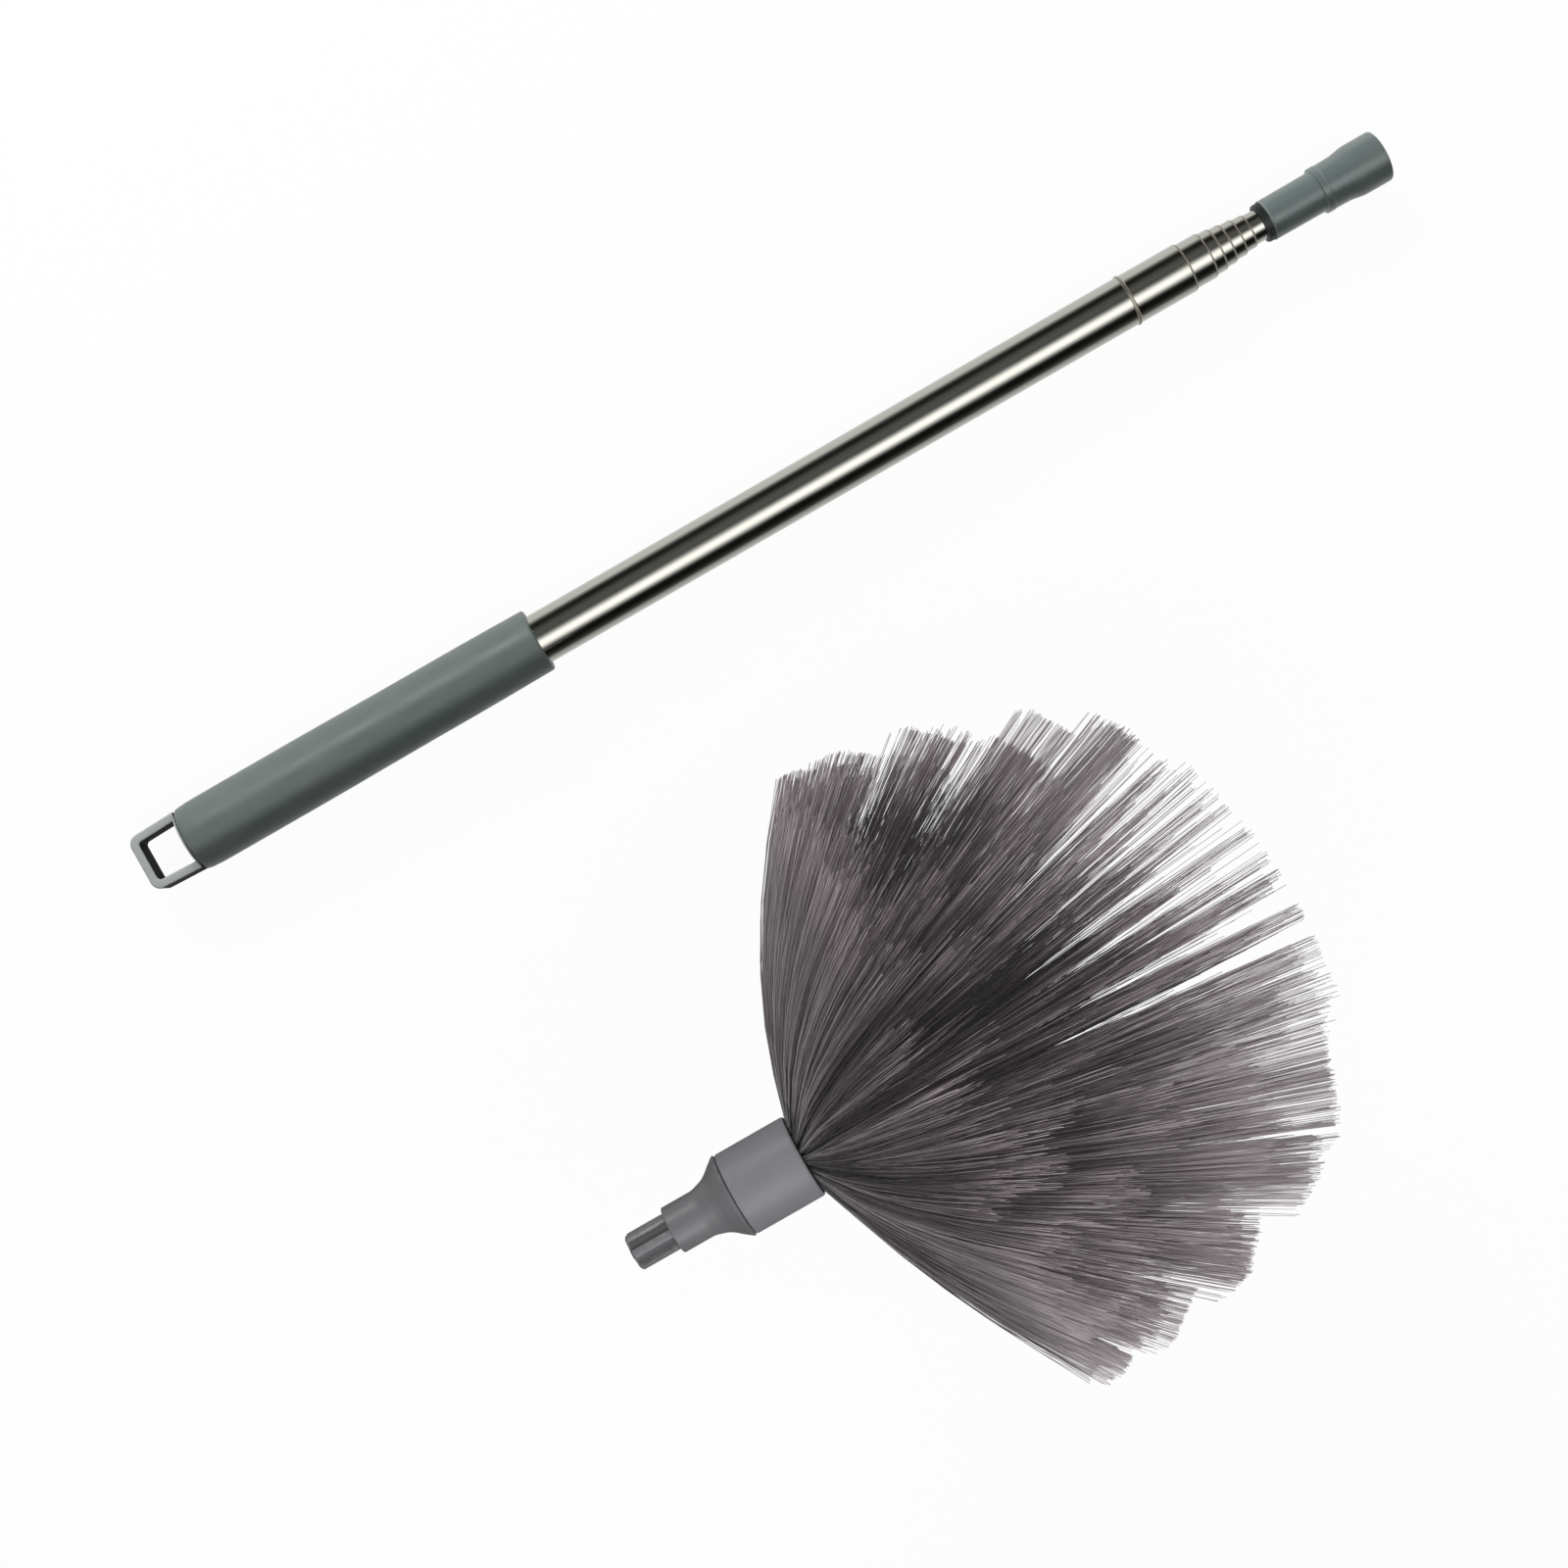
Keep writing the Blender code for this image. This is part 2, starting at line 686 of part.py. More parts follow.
def strand_path(root_radius, azimuth, scatter):
    """Points of one strand along its bow, in the head's own axes with Z along the head.

    Each strand bends in a plane through the head's axis. The further out its root,
    the more it leans, so no two strands cross.
    """
    reach = root_radius / OUTER_RING_RADIUS
    ring_lean = RING_PITCH / OUTER_RING_RADIUS * TIP_SCATTER_SHARE * scatter.uniform(-1, 1)
    tip_angle = min(reach + ring_lean, 1.0) * TIP_ANGLE
    leave_angle = reach * LEAVE_ANGLE
    length = dome_radius(tip_angle) * (1 - LENGTH_SCATTER_SHARE * scatter.random())
    root = Vector((0.0, root_radius))
    tip = Vector((math.cos(tip_angle), math.sin(tip_angle))) * length
    lean = Vector((math.cos(leave_angle), math.sin(leave_angle)))
    control = root + lean * (tip - root).length * STRAND_BOW_SHARE
    points = []
    for share in STRAND_STATION_SHARES:
        rest = 1 - share
        flat = root * rest * rest + control * 2 * share * rest + tip * share * share
        if share == 0:
            flat = root - Vector((STRAND_EMBED, 0.0))
        points.append(Vector((
            flat.y * math.cos(azimuth),
            flat.y * math.sin(azimuth),
            BLOCK_FACE + flat.x,
        )))
    return points


def strand_bundle(name, roots, cutters, frame):
    """One mesh of separate tapered strands, from their (radius, azimuth) roots."""
    scatter = random.Random(f"{name}{SCATTER_SEED}")
    section = bpy.data.curves.new("strand_section", "CURVE")
    section.dimensions = "2D"
    triangle = section.splines.new("POLY")
    triangle.points.add(STRAND_SIDES - 1)
    for index, point in enumerate(triangle.points):
        angle = 2 * math.pi * index / STRAND_SIDES
        point.co = (
            STRAND_TIP_RADIUS * math.cos(angle),
            STRAND_TIP_RADIUS * math.sin(angle),
            0.0,
            1.0,
        )
    triangle.use_cyclic_u = True
    section_object = new_object("strand_section", section, cutters)
    as_cutter(section_object)

    curve = bpy.data.curves.new(name, "CURVE")
    curve.dimensions = "3D"
    curve.bevel_mode = "OBJECT"
    curve.bevel_object = section_object
    curve.use_fill_caps = True
    root_share = STRAND_ROOT_RADIUS / STRAND_TIP_RADIUS
    for root_radius, azimuth in roots:
        path = strand_path(root_radius, azimuth, scatter)
        spline = curve.splines.new("POLY")
        spline.points.add(len(path) - 1)
        for point, place, share in zip(spline.points, path, STRAND_STATION_SHARES):
            point.co = (*place, 1.0)
            point.radius = root_share + (1 - root_share) * share
    bundle = new_object(name, curve, cutters, frame)
    along_pole(bundle, 0.0)
    bundle = settle(bundle)
    as_cutter(bundle)
    bpy.data.objects.remove(section_object, do_unlink=True)
    return bundle


def core_roots():
    """Roots of the strands in the core: rings round one in the middle."""
    roots = []
    for ring, count in enumerate(CORE_RING_STRANDS):
        for index in range(count):
            roots.append((ring * CORE_RING_PITCH, 2 * math.pi * (index + 1 / 2) / count))
    return roots


def slice_roots(number):
    """Roots of the strands in one slice, ring by ring."""
    width = 2 * math.pi / SLICE_COUNT
    start = number * width
    roots = []
    for ring in range(RING_COUNT):
        radius = OUTER_RING_RADIUS - ring * RING_PITCH
        count = int(radius * width / STRAND_PITCH)
        for index in range(count):
            roots.append((radius, start + width * (index + 1 / 2) / count))
    return roots


def slice_outline(number):
    """Outline of one slice of the block, with parallel gaps to its neighbours."""
    width = 2 * math.pi / SLICE_COUNT
    inner = CORE_DIAMETER / 2 + SEAT_GAP
    points = []
    for radius, forward in ((BLOCK_RADIUS, True), (inner, False)):
        trim = math.asin(SEAT_GAP / 2 / radius)
        start = math.degrees(number * width + trim)
        end = math.degrees((number + 1) * width - trim)
        if forward:
            points += arc(0.0, 0.0, radius, start, end, SLICE_ARC_STEPS)
        else:
            points += arc(0.0, 0.0, radius, end, start, SLICE_ARC_STEPS)
    return [points]


def build_core(collection, cutters, frame, material):
    """Bristle core: a post with a blind screw hole, and the middle strands."""
    radius = CORE_DIAMETER / 2
    length = BLOCK_FACE - POST_START
    hole_depth = SCREW_LENGTH + SEAT_GAP - NECK_WEB
    profile = [
        (length, 0.0),
        (length, radius),
        (0.0, radius),
        (0.0, SCREW_HOLE_RADIUS),
        (hole_depth, SCREW_HOLE_RADIUS),
        (hole_depth, 0.0),
    ]
    core = turned("bristle_core", profile, collection, frame, material, closed=False)
    along_pole(core, POST_START)
    core = settle(core)
    add_boolean(core, strand_bundle("core_strands", core_roots(), cutters, frame), "UNION")
    return core


def build_slices(collection, cutters, frame, material):
    """Bristle sectors: slices of the block with the strands that stand in them."""
    length = BLOCK_FACE - BLOCK_START
    for number in range(SLICE_COUNT):
        name = f"bristle_sector_{number + 1}"
        sector = extruded(name, slice_outline(number), length, collection, frame, material)
        along_pole(sector, BLOCK_START)
        bundle = strand_bundle(f"sector_{number + 1}_strands", slice_roots(number), cutters, frame)
        add_boolean(sector, bundle, "UNION")


def lowest_point(objects):
    """Lowest world height of a group of evaluated meshes."""
    bpy.context.view_layer.update()
    graph = bpy.context.evaluated_depsgraph_get()
    lowest = []
    for obj in objects:
        evaluated = obj.evaluated_get(graph)
        lowest.append(min((obj.matrix_world @ vertex.co).z for vertex in evaluated.data.vertices))
    return min(lowest)


def place_head(frame):
    """Lay the head beside the pole, its lowest strands level with the grip's underside."""
    frame.location = (HEAD_STATION, -HEAD_SPACING, 0.0)
    drop = lowest_point([obj for obj in frame.children if not obj.hide_render])
    frame.location.z = -GRIP_RADIUS - drop


def print_lift_path(frame):
    """Print the way from the head's place beside the pole to its seat in the socket."""
    seat = Vector((SOCKET_MOUTH + SEAT_GAP - PLUG_LENGTH, 0.0, 0.0))
    path = seat + Vector((TUBE_TRAVEL, 0.0, 0.0)) - frame.location
    print("head frame at", [round(value, 6) for value in frame.location])
    print("lift axis", [round(value, 6) for value in path.normalized()], "range", round(path.length, 6))


def main():
    """Build every piece of the duster."""
    clear_scene()
    pieces = new_collection(OBJECT_NAME)
    cutters = new_collection("cutters")
    materials = build_materials()

    build_loop(pieces, cutters, materials["loop"])
    build_grip(pieces, materials["grip"])
    build_tubes(pieces, materials["steel"])
    build_bushes(pieces, materials["bush"])
    build_socket(pieces, materials["socket"])

    head = new_empty("head_frame", pieces)
    build_adapter(pieces, cutters, head, materials["head"])
    build_ferrule(pieces, head, materials["head"])
    build_screw(pieces, cutters, head, materials["screw"])
    build_core(pieces, cutters, head, materials["block"])
    build_slices(pieces, cutters, head, materials["block"])
    place_head(head)
    print_lift_path(head)
    bpy.context.view_layer.update()


main()
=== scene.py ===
"""Looks of the telescopic duster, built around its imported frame.

All lengths are in metres in the row frame: +X runs along the pole from the hanging
loop to the tip socket, and +Z is up from the floor. The brush head lies beside the
pole, with its own axis parallel to +X.
"""

from __future__ import annotations

import json
import logging
import math
from collections.abc import Sequence
from dataclasses import dataclass, field
from enum import Enum

import bmesh
import bpy
import numpy as np
from mathutils import Matrix, Vector

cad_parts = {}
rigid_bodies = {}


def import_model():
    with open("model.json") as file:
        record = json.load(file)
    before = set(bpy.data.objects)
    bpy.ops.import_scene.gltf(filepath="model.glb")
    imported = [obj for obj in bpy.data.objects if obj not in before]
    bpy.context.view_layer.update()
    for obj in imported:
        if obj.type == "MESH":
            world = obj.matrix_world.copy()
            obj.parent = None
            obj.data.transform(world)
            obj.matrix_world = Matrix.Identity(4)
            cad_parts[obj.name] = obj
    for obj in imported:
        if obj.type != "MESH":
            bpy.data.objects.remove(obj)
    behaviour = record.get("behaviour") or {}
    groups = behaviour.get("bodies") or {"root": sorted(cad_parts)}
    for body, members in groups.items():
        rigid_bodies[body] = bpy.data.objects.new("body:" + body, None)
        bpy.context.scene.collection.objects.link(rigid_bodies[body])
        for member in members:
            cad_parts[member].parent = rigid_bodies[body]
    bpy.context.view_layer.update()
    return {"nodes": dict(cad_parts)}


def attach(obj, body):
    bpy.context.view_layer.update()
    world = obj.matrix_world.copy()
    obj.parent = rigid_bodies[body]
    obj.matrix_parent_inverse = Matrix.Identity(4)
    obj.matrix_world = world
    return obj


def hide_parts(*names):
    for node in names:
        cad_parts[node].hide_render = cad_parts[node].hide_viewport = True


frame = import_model()

LOG = logging.getLogger("duster")
MM = 0.001
TINY = 1e-7

# The floor lies just under the lowest point of the grip.
FLOOR_HEIGHT = -0.01487
# The place from which the photograph is taken, worked out from both items.
VIEW_FROM = (0.265, -0.140, 1.080)
# The plug's free end, on the head's own axis.
HEAD_TIP = Vector((0.1166, -0.2326, 0.114081))
HEAD_AXIS = (HEAD_TIP.y, HEAD_TIP.z)

ARC_STEPS = 5
SHARP_ANGLE = 35.0
HOLD_DISTANCE = 0.25 * MM

Colour = tuple[float, float, float]
Point = tuple[float, float]
Materials = dict["Paint", bpy.types.Material]


class Body(Enum):
    """CAD bodies that pieces ride on."""

    HANDLE = "handle"
    SECTION_2 = "section_2"
    SECTION_3 = "section_3"
    SECTION_4 = "section_4"
    SECTION_5 = "section_5"
    SECTION_6 = "section_6"
    SECTION_7 = "section_7"
    HEAD = "brush_head"


class Slot(Enum):
    """Material slots of the record; the pieces built here are not given them."""

    LOOP = "loop_plastic"
    GRIP = "grip_plastic"
    STEEL = "tube_steel"
    SOCKET = "socket_plastic"
    HEAD = "head_plastic"
    BRISTLE = "bristle_fibre"


class Dust(Enum):
    """How much dust has settled on a finish."""

    NONE = 0.0
    FAINT = 0.05


def linear(red: int, green: int, blue: int) -> Colour:
    """Linear colour of three display values from 0 to 255."""
    shares = (value / 255 for value in (red, green, blue))
    return tuple(s / 12.92 if s <= 0.04045 else ((s + 0.055) / 1.055) ** 2.4 for s in shares)


class NodeSheet:
    """Short ways to add and join nodes in one node tree."""

    def __init__(self, tree: bpy.types.NodeTree) -> None:
        """Keep the tree that nodes go in."""
        self.tree = tree

    def feed(self, node: bpy.types.Node, inputs: dict) -> None:
        """Fill a node's inputs.

        Args:
            node: The node.
            inputs: Socket names or numbers, each with a value or a socket to join.
        """
        for key, value in inputs.items():
            if isinstance(value, bpy.types.NodeSocket):
                self.tree.links.new(value, node.inputs[key])
            else:
                node.inputs[key].default_value = value

    def add(self, kind: str, inputs: dict | None = None, **settings: object) -> bpy.types.Node:
        """Add one node.

        Args:
            kind: Blender's type name of the node.
            inputs: Its inputs, as feed takes them.
            settings: Attributes to set on the node first.

        Returns:
            The new node.
        """
        node = self.tree.nodes.new(kind)
        for name, value in settings.items():
            setattr(node, name, value)
        self.feed(node, inputs or {})
        return node

    def math(self, operation: str, *values: object, clamp: bool = False) -> bpy.types.NodeSocket:
        """Add one Math node of numbers or sockets; clamp holds its result in 0 to 1."""
        inputs = dict(enumerate(values))
        return self.add("ShaderNodeMath", inputs, operation=operation, use_clamp=clamp).outputs[0]

    def here(self) -> bpy.types.NodeSocket:
        """Coordinates of the surface in the row frame."""
        return self.add("ShaderNodeTexCoord").outputs["Object"]

    def surface(self, output: str) -> bpy.types.NodeSocket:
        """One output of a Geometry node."""
        return self.add("ShaderNodeNewGeometry").outputs[output]

    def split(self, vector: bpy.types.NodeSocket) -> Sequence[bpy.types.NodeSocket]:
        """The three numbers of a vector."""
        return self.add("ShaderNodeSeparateXYZ", {0: vector}).outputs

    def noise(self, place: object, scale: object, detail: float) -> bpy.types.NodeSocket:
        """The value of a noise texture."""
        inputs = {"Vector": place, "Scale": scale, "Detail": detail}
        return self.add("ShaderNodeTexNoise", inputs).outputs[0]

    def bump(self, strength: float, distance: float, height: object) -> bpy.types.NodeSocket:
        """The normal of a surface that a height lifts."""
        inputs = {"Strength": strength, "Distance": distance, "Height": height}
        return self.add("ShaderNodeBump", inputs).outputs[0]

    def span(self, value: object, low: float, high: float, to_low: float = 0.0,
             to_high: float = 1.0) -> bpy.types.NodeSocket:
        """Map one range smoothly to another.

        Args:
            value: The socket to map.
            low: Value that becomes to_low.
            high: Value that becomes to_high.
            to_low: Result at and below low.
            to_high: Result at and above high.

        Returns:
            The mapped socket.
        """
        inputs = {"Value": value, "From Min": low, "From Max": high, "To Min": to_low, "To Max": to_high}
        node = self.add("ShaderNodeMapRange", inputs, interpolation_type="SMOOTHSTEP")
        return node.outputs["Result"]

    def blend(self, share: object, first: object, second: object) -> bpy.types.NodeSocket:
        """Mix two colours.

        Args:
            share: How much of the second colour, 0 to 1.
            first: A colour of three numbers or a colour socket.
            second: The same for the second colour.

        Returns:
            The mixed colour's socket.
        """
        opaque = [c if isinstance(c, bpy.types.NodeSocket) else (*c, 1.0) for c in (first, second)]
        node = self.add("ShaderNodeMix", {0: share, 6: opaque[0], 7: opaque[1]}, data_type="RGBA")
        return node.outputs[2]

    def ramp(self, value: object, stops: Sequence[tuple[float, Colour]]) -> bpy.types.NodeSocket:
        """Turn a value into a colour.

        Args:
            value: The socket to read, 0 to 1.
            stops: Places with their linear colours, in order.

        Returns:
            The colour's socket.
        """
        node = self.add("ShaderNodeValToRGB", {0: value})
        marks = node.color_ramp.elements
        while len(marks) < len(stops):
            marks.new(0.5)
        for mark, (place, colour) in zip(marks, stops):
            mark.position = place
            mark.color = (*colour, 1.0)
        node.color_ramp.interpolation = "EASE"
        return node.outputs[0]

    def place(self, group: bpy.types.NodeTree, **inputs: object) -> bpy.types.Node:
        """Place a shared effect, with underscores for the spaces in its inputs' names."""
        named = {key.replace("_", " "): value for key, value in inputs.items()}
        return self.add("ShaderNodeGroup", named, node_tree=group)


class Effects:
    """Surface effects that several finishes share, each a node group built once."""

    def __init__(self) -> None:
        """Build every shared effect."""
        self.grain = self._moulded_grain()
        self.wear = self._edge_wear()
        self.dust = self._settled_dust()
        self.lines = self._drawn_lines()

    @staticmethod
    def _open(name: str, inputs: dict[str, float], outputs: Sequence[str]) -> tuple:
        """Start a node group.

        Args:
            name: The group's name.
            inputs: Names of its number inputs, with their usual values.
            outputs: Names of its number outputs.

        Returns:
            The group, its sheet, the sockets of its inputs and its output node.
        """
        group = bpy.data.node_groups.new(name, "ShaderNodeTree")
        number = "NodeSocketFloat"
        for label, usual in inputs.items():
            socket = group.interface.new_socket(name=label, in_out="INPUT", socket_type=number)
            socket.default_value = usual
        for label in outputs:
            group.interface.new_socket(name=label, in_out="OUTPUT", socket_type=number)
        sheet = NodeSheet(group)
        return group, sheet, sheet.add("NodeGroupInput").outputs, sheet.add("NodeGroupOutput")

    def _moulded_grain(self) -> bpy.types.NodeTree:
        """Fine spark-eroded grain of a mould, with slow mottling of the colour.

        Returns:
            A group with Height and Mottle.
        """
        usual = {"Grain Scale": 2200.0, "Mottle Scale": 70.0}
        group, sheet, given, made = self._open("moulded_grain", usual, ("Height", "Mottle"))
        place = sheet.here()
        pits = sheet.add("ShaderNodeTexVoronoi", {"Vector": place, "Scale": given[0]}).outputs[0]
        height = sheet.math("ADD", sheet.noise(place, given[0], 3.0), sheet.math("MULTIPLY", pits, 0.35))
        sheet.feed(made, {0: height, 1: sheet.noise(place, given[1], 4.0)})
        return group

    def _edge_wear(self) -> bpy.types.NodeTree:
        """Rubbed edges, found by how sharply the surface turns.

        Returns:
            A group with a Wear mask.
        """
        usual = {"Start": 0.52, "Full": 0.62, "Breakup Scale": 420.0}
        group, sheet, given, made = self._open("edge_wear", usual, ("Wear",))
        inputs = {"Value": sheet.surface("Pointiness"), "From Min": given[0], "From Max": given[1]}
        edge = sheet.add("ShaderNodeMapRange", inputs).outputs["Result"]
        broken = sheet.span(sheet.noise(sheet.here(), given[2], 5.0), 0.35, 0.65)
        sheet.feed(made, {0: sheet.math("MULTIPLY", edge, broken, clamp=True)})
        return group

    def _settled_dust(self) -> bpy.types.NodeTree:
        """Dust on what faces up, in soft patches.

        Returns:
            A group with a Mask.
        """
        usual = {"Amount": 0.1, "Patch Scale": 38.0}
        group, sheet, given, made = self._open("settled_dust", usual, ("Mask",))
        up = sheet.span(sheet.split(sheet.surface("Normal"))[2], 0.35, 1.0)
        patches = sheet.span(sheet.noise(sheet.here(), given[1], 7.0), 0.38, 0.72)
        mask = sheet.math("MULTIPLY", sheet.math("MULTIPLY", up, patches), given[0], clamp=True)
        sheet.feed(made, {0: mask})
        return group

    def _drawn_lines(self) -> bpy.types.NodeTree:
        """Fine lines along a drawn or extruded tube whose axis is X.

        Returns:
            A group with Height and Tone.
        """
        usual = {"Lines Around": 60.0, "Runs Along": 6.0}
        group, sheet, given, made = self._open("drawn_lines", usual, ("Height", "Tone"))
        parts = sheet.split(sheet.here())
        angle = sheet.math("ARCTAN2", parts[1], parts[2])
        spread = sheet.add("ShaderNodeCombineXYZ", {
            0: sheet.math("MULTIPLY", parts[0], given[1]),
            1: sheet.math("MULTIPLY", sheet.math("COSINE", angle), given[0]),
            2: sheet.math("MULTIPLY", sheet.math("SINE", angle), given[0]),
        })
        lines = sheet.noise(spread.outputs[0], 1.0, 2.0)
        sheet.feed(made, {0: lines, 1: sheet.span(lines, 0.3, 0.7)})
        return group


def cleared(holder: bpy.types.Material | bpy.types.World) -> NodeSheet:
    """Turn on the nodes of a new material or world and take its first ones out.

    Args:
        holder: The material or world.

    Returns:
        The sheet of its empty node tree.
    """
    holder.use_nodes = True
    holder.node_tree.nodes.clear()
    return NodeSheet(holder.node_tree)


def new_material(name: str) -> tuple[bpy.types.Material, NodeSheet, bpy.types.Node]:
    """Start a material.

    Args:
        name: The material's name.

    Returns:
        The material, its node sheet and its Principled shader.
    """
    material = bpy.data.materials.new(name)
    sheet = cleared(material)
    shader = sheet.add("ShaderNodeBsdfPrincipled")
    sheet.add("ShaderNodeOutputMaterial", {"Surface": shader.outputs[0]})
    return material, sheet, shader


@dataclass(frozen=True)
class MouldedPlastic:
    """A moulded plastic with grain, mottling, rubbed edges and dust, and painted shade on its upright
    faces where a wall colour is given.

    Attributes:
        painted_wall_shade: Colour of the faces that stand upright, where it isn't the same: painted
            shade, darker than the faces that lie flat.
        wall_dulling: How much rougher those faces are.
    """

    name: str
    colour: Colour
    roughness: float = 0.42
    grain_scale: float = 2200.0
    grain_depth: float = 0.02 * MM
    mottle: float = 0.10
    wear: Colour = (0.45, 0.47, 0.46)
    wear_share: float = 0.45
    dust: Dust = Dust.FAINT
    dust_tint: Colour = (0.52, 0.51, 0.49)
    dust_dulling: float = 0.4
    shine: float = 0.5
    painted_wall_shade: Colour | None = None
    wall_dulling: float = 0.5

    def material(self, effects: Effects) -> bpy.types.Material:
        """Build the material.

        Args:
            effects: The shared effects.

        Returns:
            The finished material.
        """
        material, sheet, shader = new_material(self.name)
        grain = sheet.place(effects.grain, Grain_Scale=self.grain_scale).outputs
        darker = tuple(c * (1 - self.mottle) for c in self.colour)
        lighter = tuple(min(1.0, c * (1 + self.mottle)) for c in self.colour)
        worn = sheet.math("MULTIPLY", sheet.place(effects.wear).outputs[0], self.wear_share)
        colour = sheet.blend(worn, sheet.blend(grain["Mottle"], darker, lighter), self.wear)
        dust = sheet.place(effects.dust, Amount=self.dust.value).outputs[0]
        colour = sheet.blend(dust, colour, self.dust_tint)
        rough = sheet.span(grain["Mottle"], 0.3, 0.7, self.roughness - 0.05, self.roughness + 0.06)
        # Faces that stand upright take the darker wall colour: painted shade.
        if self.painted_wall_shade:
            level = sheet.math("ABSOLUTE", sheet.split(sheet.surface("Normal"))[2])
            flat = sheet.span(level, 0.35, 0.70)
            colour = sheet.blend(flat, self.painted_wall_shade, colour)
            upright = sheet.math("SUBTRACT", 1.0, flat)
            rough = sheet.math("ADD", rough, sheet.math("MULTIPLY", upright, self.wall_dulling))
        rough = sheet.math("ADD", rough, sheet.math("MULTIPLY", dust, self.dust_dulling), clamp=True)
        sheet.feed(shader, {
            "Base Color": colour,
            "Roughness": rough,
            "Specular IOR Level": self.shine,
            "Normal": sheet.bump(0.35, self.grain_depth, grain["Height"]),
        })
        return material


@dataclass(frozen=True)
class PolishedSteel:
    """Drawn and polished steel with fine lines, smears and brighter rubbed edges."""

    name: str
    colour: Colour
    roughness: float = 0.10
    lines_around: float = 60.0
    line_depth: float = 0.002 * MM
    line_tone: float = 0.94
    line_dulling: float = 0.03
    rubbed: Colour = (0.80, 0.79, 0.76)
    rubbed_share: float = 0.5

    def material(self, effects: Effects) -> bpy.types.Material:
        """Build the material.

        Args:
            effects: The shared effects.

        Returns:
            The finished material.
        """
        material, sheet, shader = new_material(self.name)
        lines = sheet.place(effects.lines, Lines_Around=self.lines_around).outputs
        smears = sheet.place(effects.grain, Grain_Scale=300.0, Mottle_Scale=45.0).outputs
        wear = sheet.place(effects.wear, Start=0.51, Full=0.58).outputs[0]
        dull = tuple(c * self.line_tone for c in self.colour)
        body = sheet.blend(lines["Tone"], dull, self.colour)
        body = sheet.blend(sheet.math("MULTIPLY", wear, self.rubbed_share), body, self.rubbed)
        low, high = self.roughness - 0.02, self.roughness + 0.05
        rough = sheet.span(smears["Mottle"], 0.35, 0.75, low, high)
        rough = sheet.math("ADD", rough, sheet.math("MULTIPLY", lines["Tone"], self.line_dulling))
        sheet.feed(shader, {
            "Base Color": body,
            "Roughness": rough,
            "Metallic": 1.0,
            "Normal": sheet.bump(0.25, self.line_depth, lines["Height"]),
        })
        return material


@dataclass(frozen=True)
class Filament:
    """Fine plastic filaments, grey at the root, darker in the middle and warmer at the tip; the root's
    pale colour is partly painted light against the shade among the strands near the block.
    """

    name: str
    root: Colour
    middle: Colour
    tip: Colour
    roughness: float = 0.48
    roughness_spread: float = 0.08
    # Dull strands turn to this dark colour, which also carries the painted shade of the dome's dark
    # patches.
    shade: Colour = (0.008, 0.008, 0.010)
    shade_share: float = 0.84
    # Bright strands turn to this pale colour, which also carries the painted light of the dome's pale
    # patches.
    light: Colour = (0.68, 0.64, 0.65)
    light_share: float = 0.50
    soil: Colour = (0.05, 0.045, 0.047)
    soil_share: float = 0.10
    grain_depth: float = 0.01 * MM
    shine: float = 0.4

    def material(self, effects: Effects) -> bpy.types.Material:
        """Build the material.

        Args:
            effects: The shared effects.

        Returns:
            The finished material.
        """
        material, sheet, shader = new_material(self.name)
        share = sheet.add("ShaderNodeAttribute", attribute_name="strand_share").outputs["Fac"]
        # Each strand's tone attribute holds its own tone with the dome's painted shade and painted light
        # added.
        tone = sheet.add("ShaderNodeAttribute", attribute_name="strand_tone_shade_and_light").outputs["Fac"]
        stops = ((0.0, self.root), (0.28, self.middle), (0.64, self.middle), (1.0, self.tip))
        along = sheet.ramp(share, stops)
        dark = sheet.blend(self.shade_share, along, self.shade)
        pale = sheet.blend(self.light_share, along, self.light)
        low = sheet.blend(sheet.span(tone, 0.0, 0.5), dark, along)
        body = sheet.blend(sheet.span(tone, 0.5, 1.0), low, pale)
        grain = sheet.place(effects.grain, Grain_Scale=1800.0, Mottle_Scale=260.0).outputs
        soiled = sheet.span(grain["Mottle"], 0.35, 0.65, 0.0, self.soil_share)
        body = sheet.blend(soiled, body, self.soil)
        dull, bright = self.roughness + self.roughness_spread, self.roughness - self.roughness_spread
        sheet.feed(shader, {
            "Base Color": body,
            "Roughness": sheet.span(tone, 0.0, 1.0, dull, bright),
            "Specular IOR Level": self.shine,
            "Normal": sheet.bump(0.2, self.grain_depth, grain["Height"]),
        })
        return material


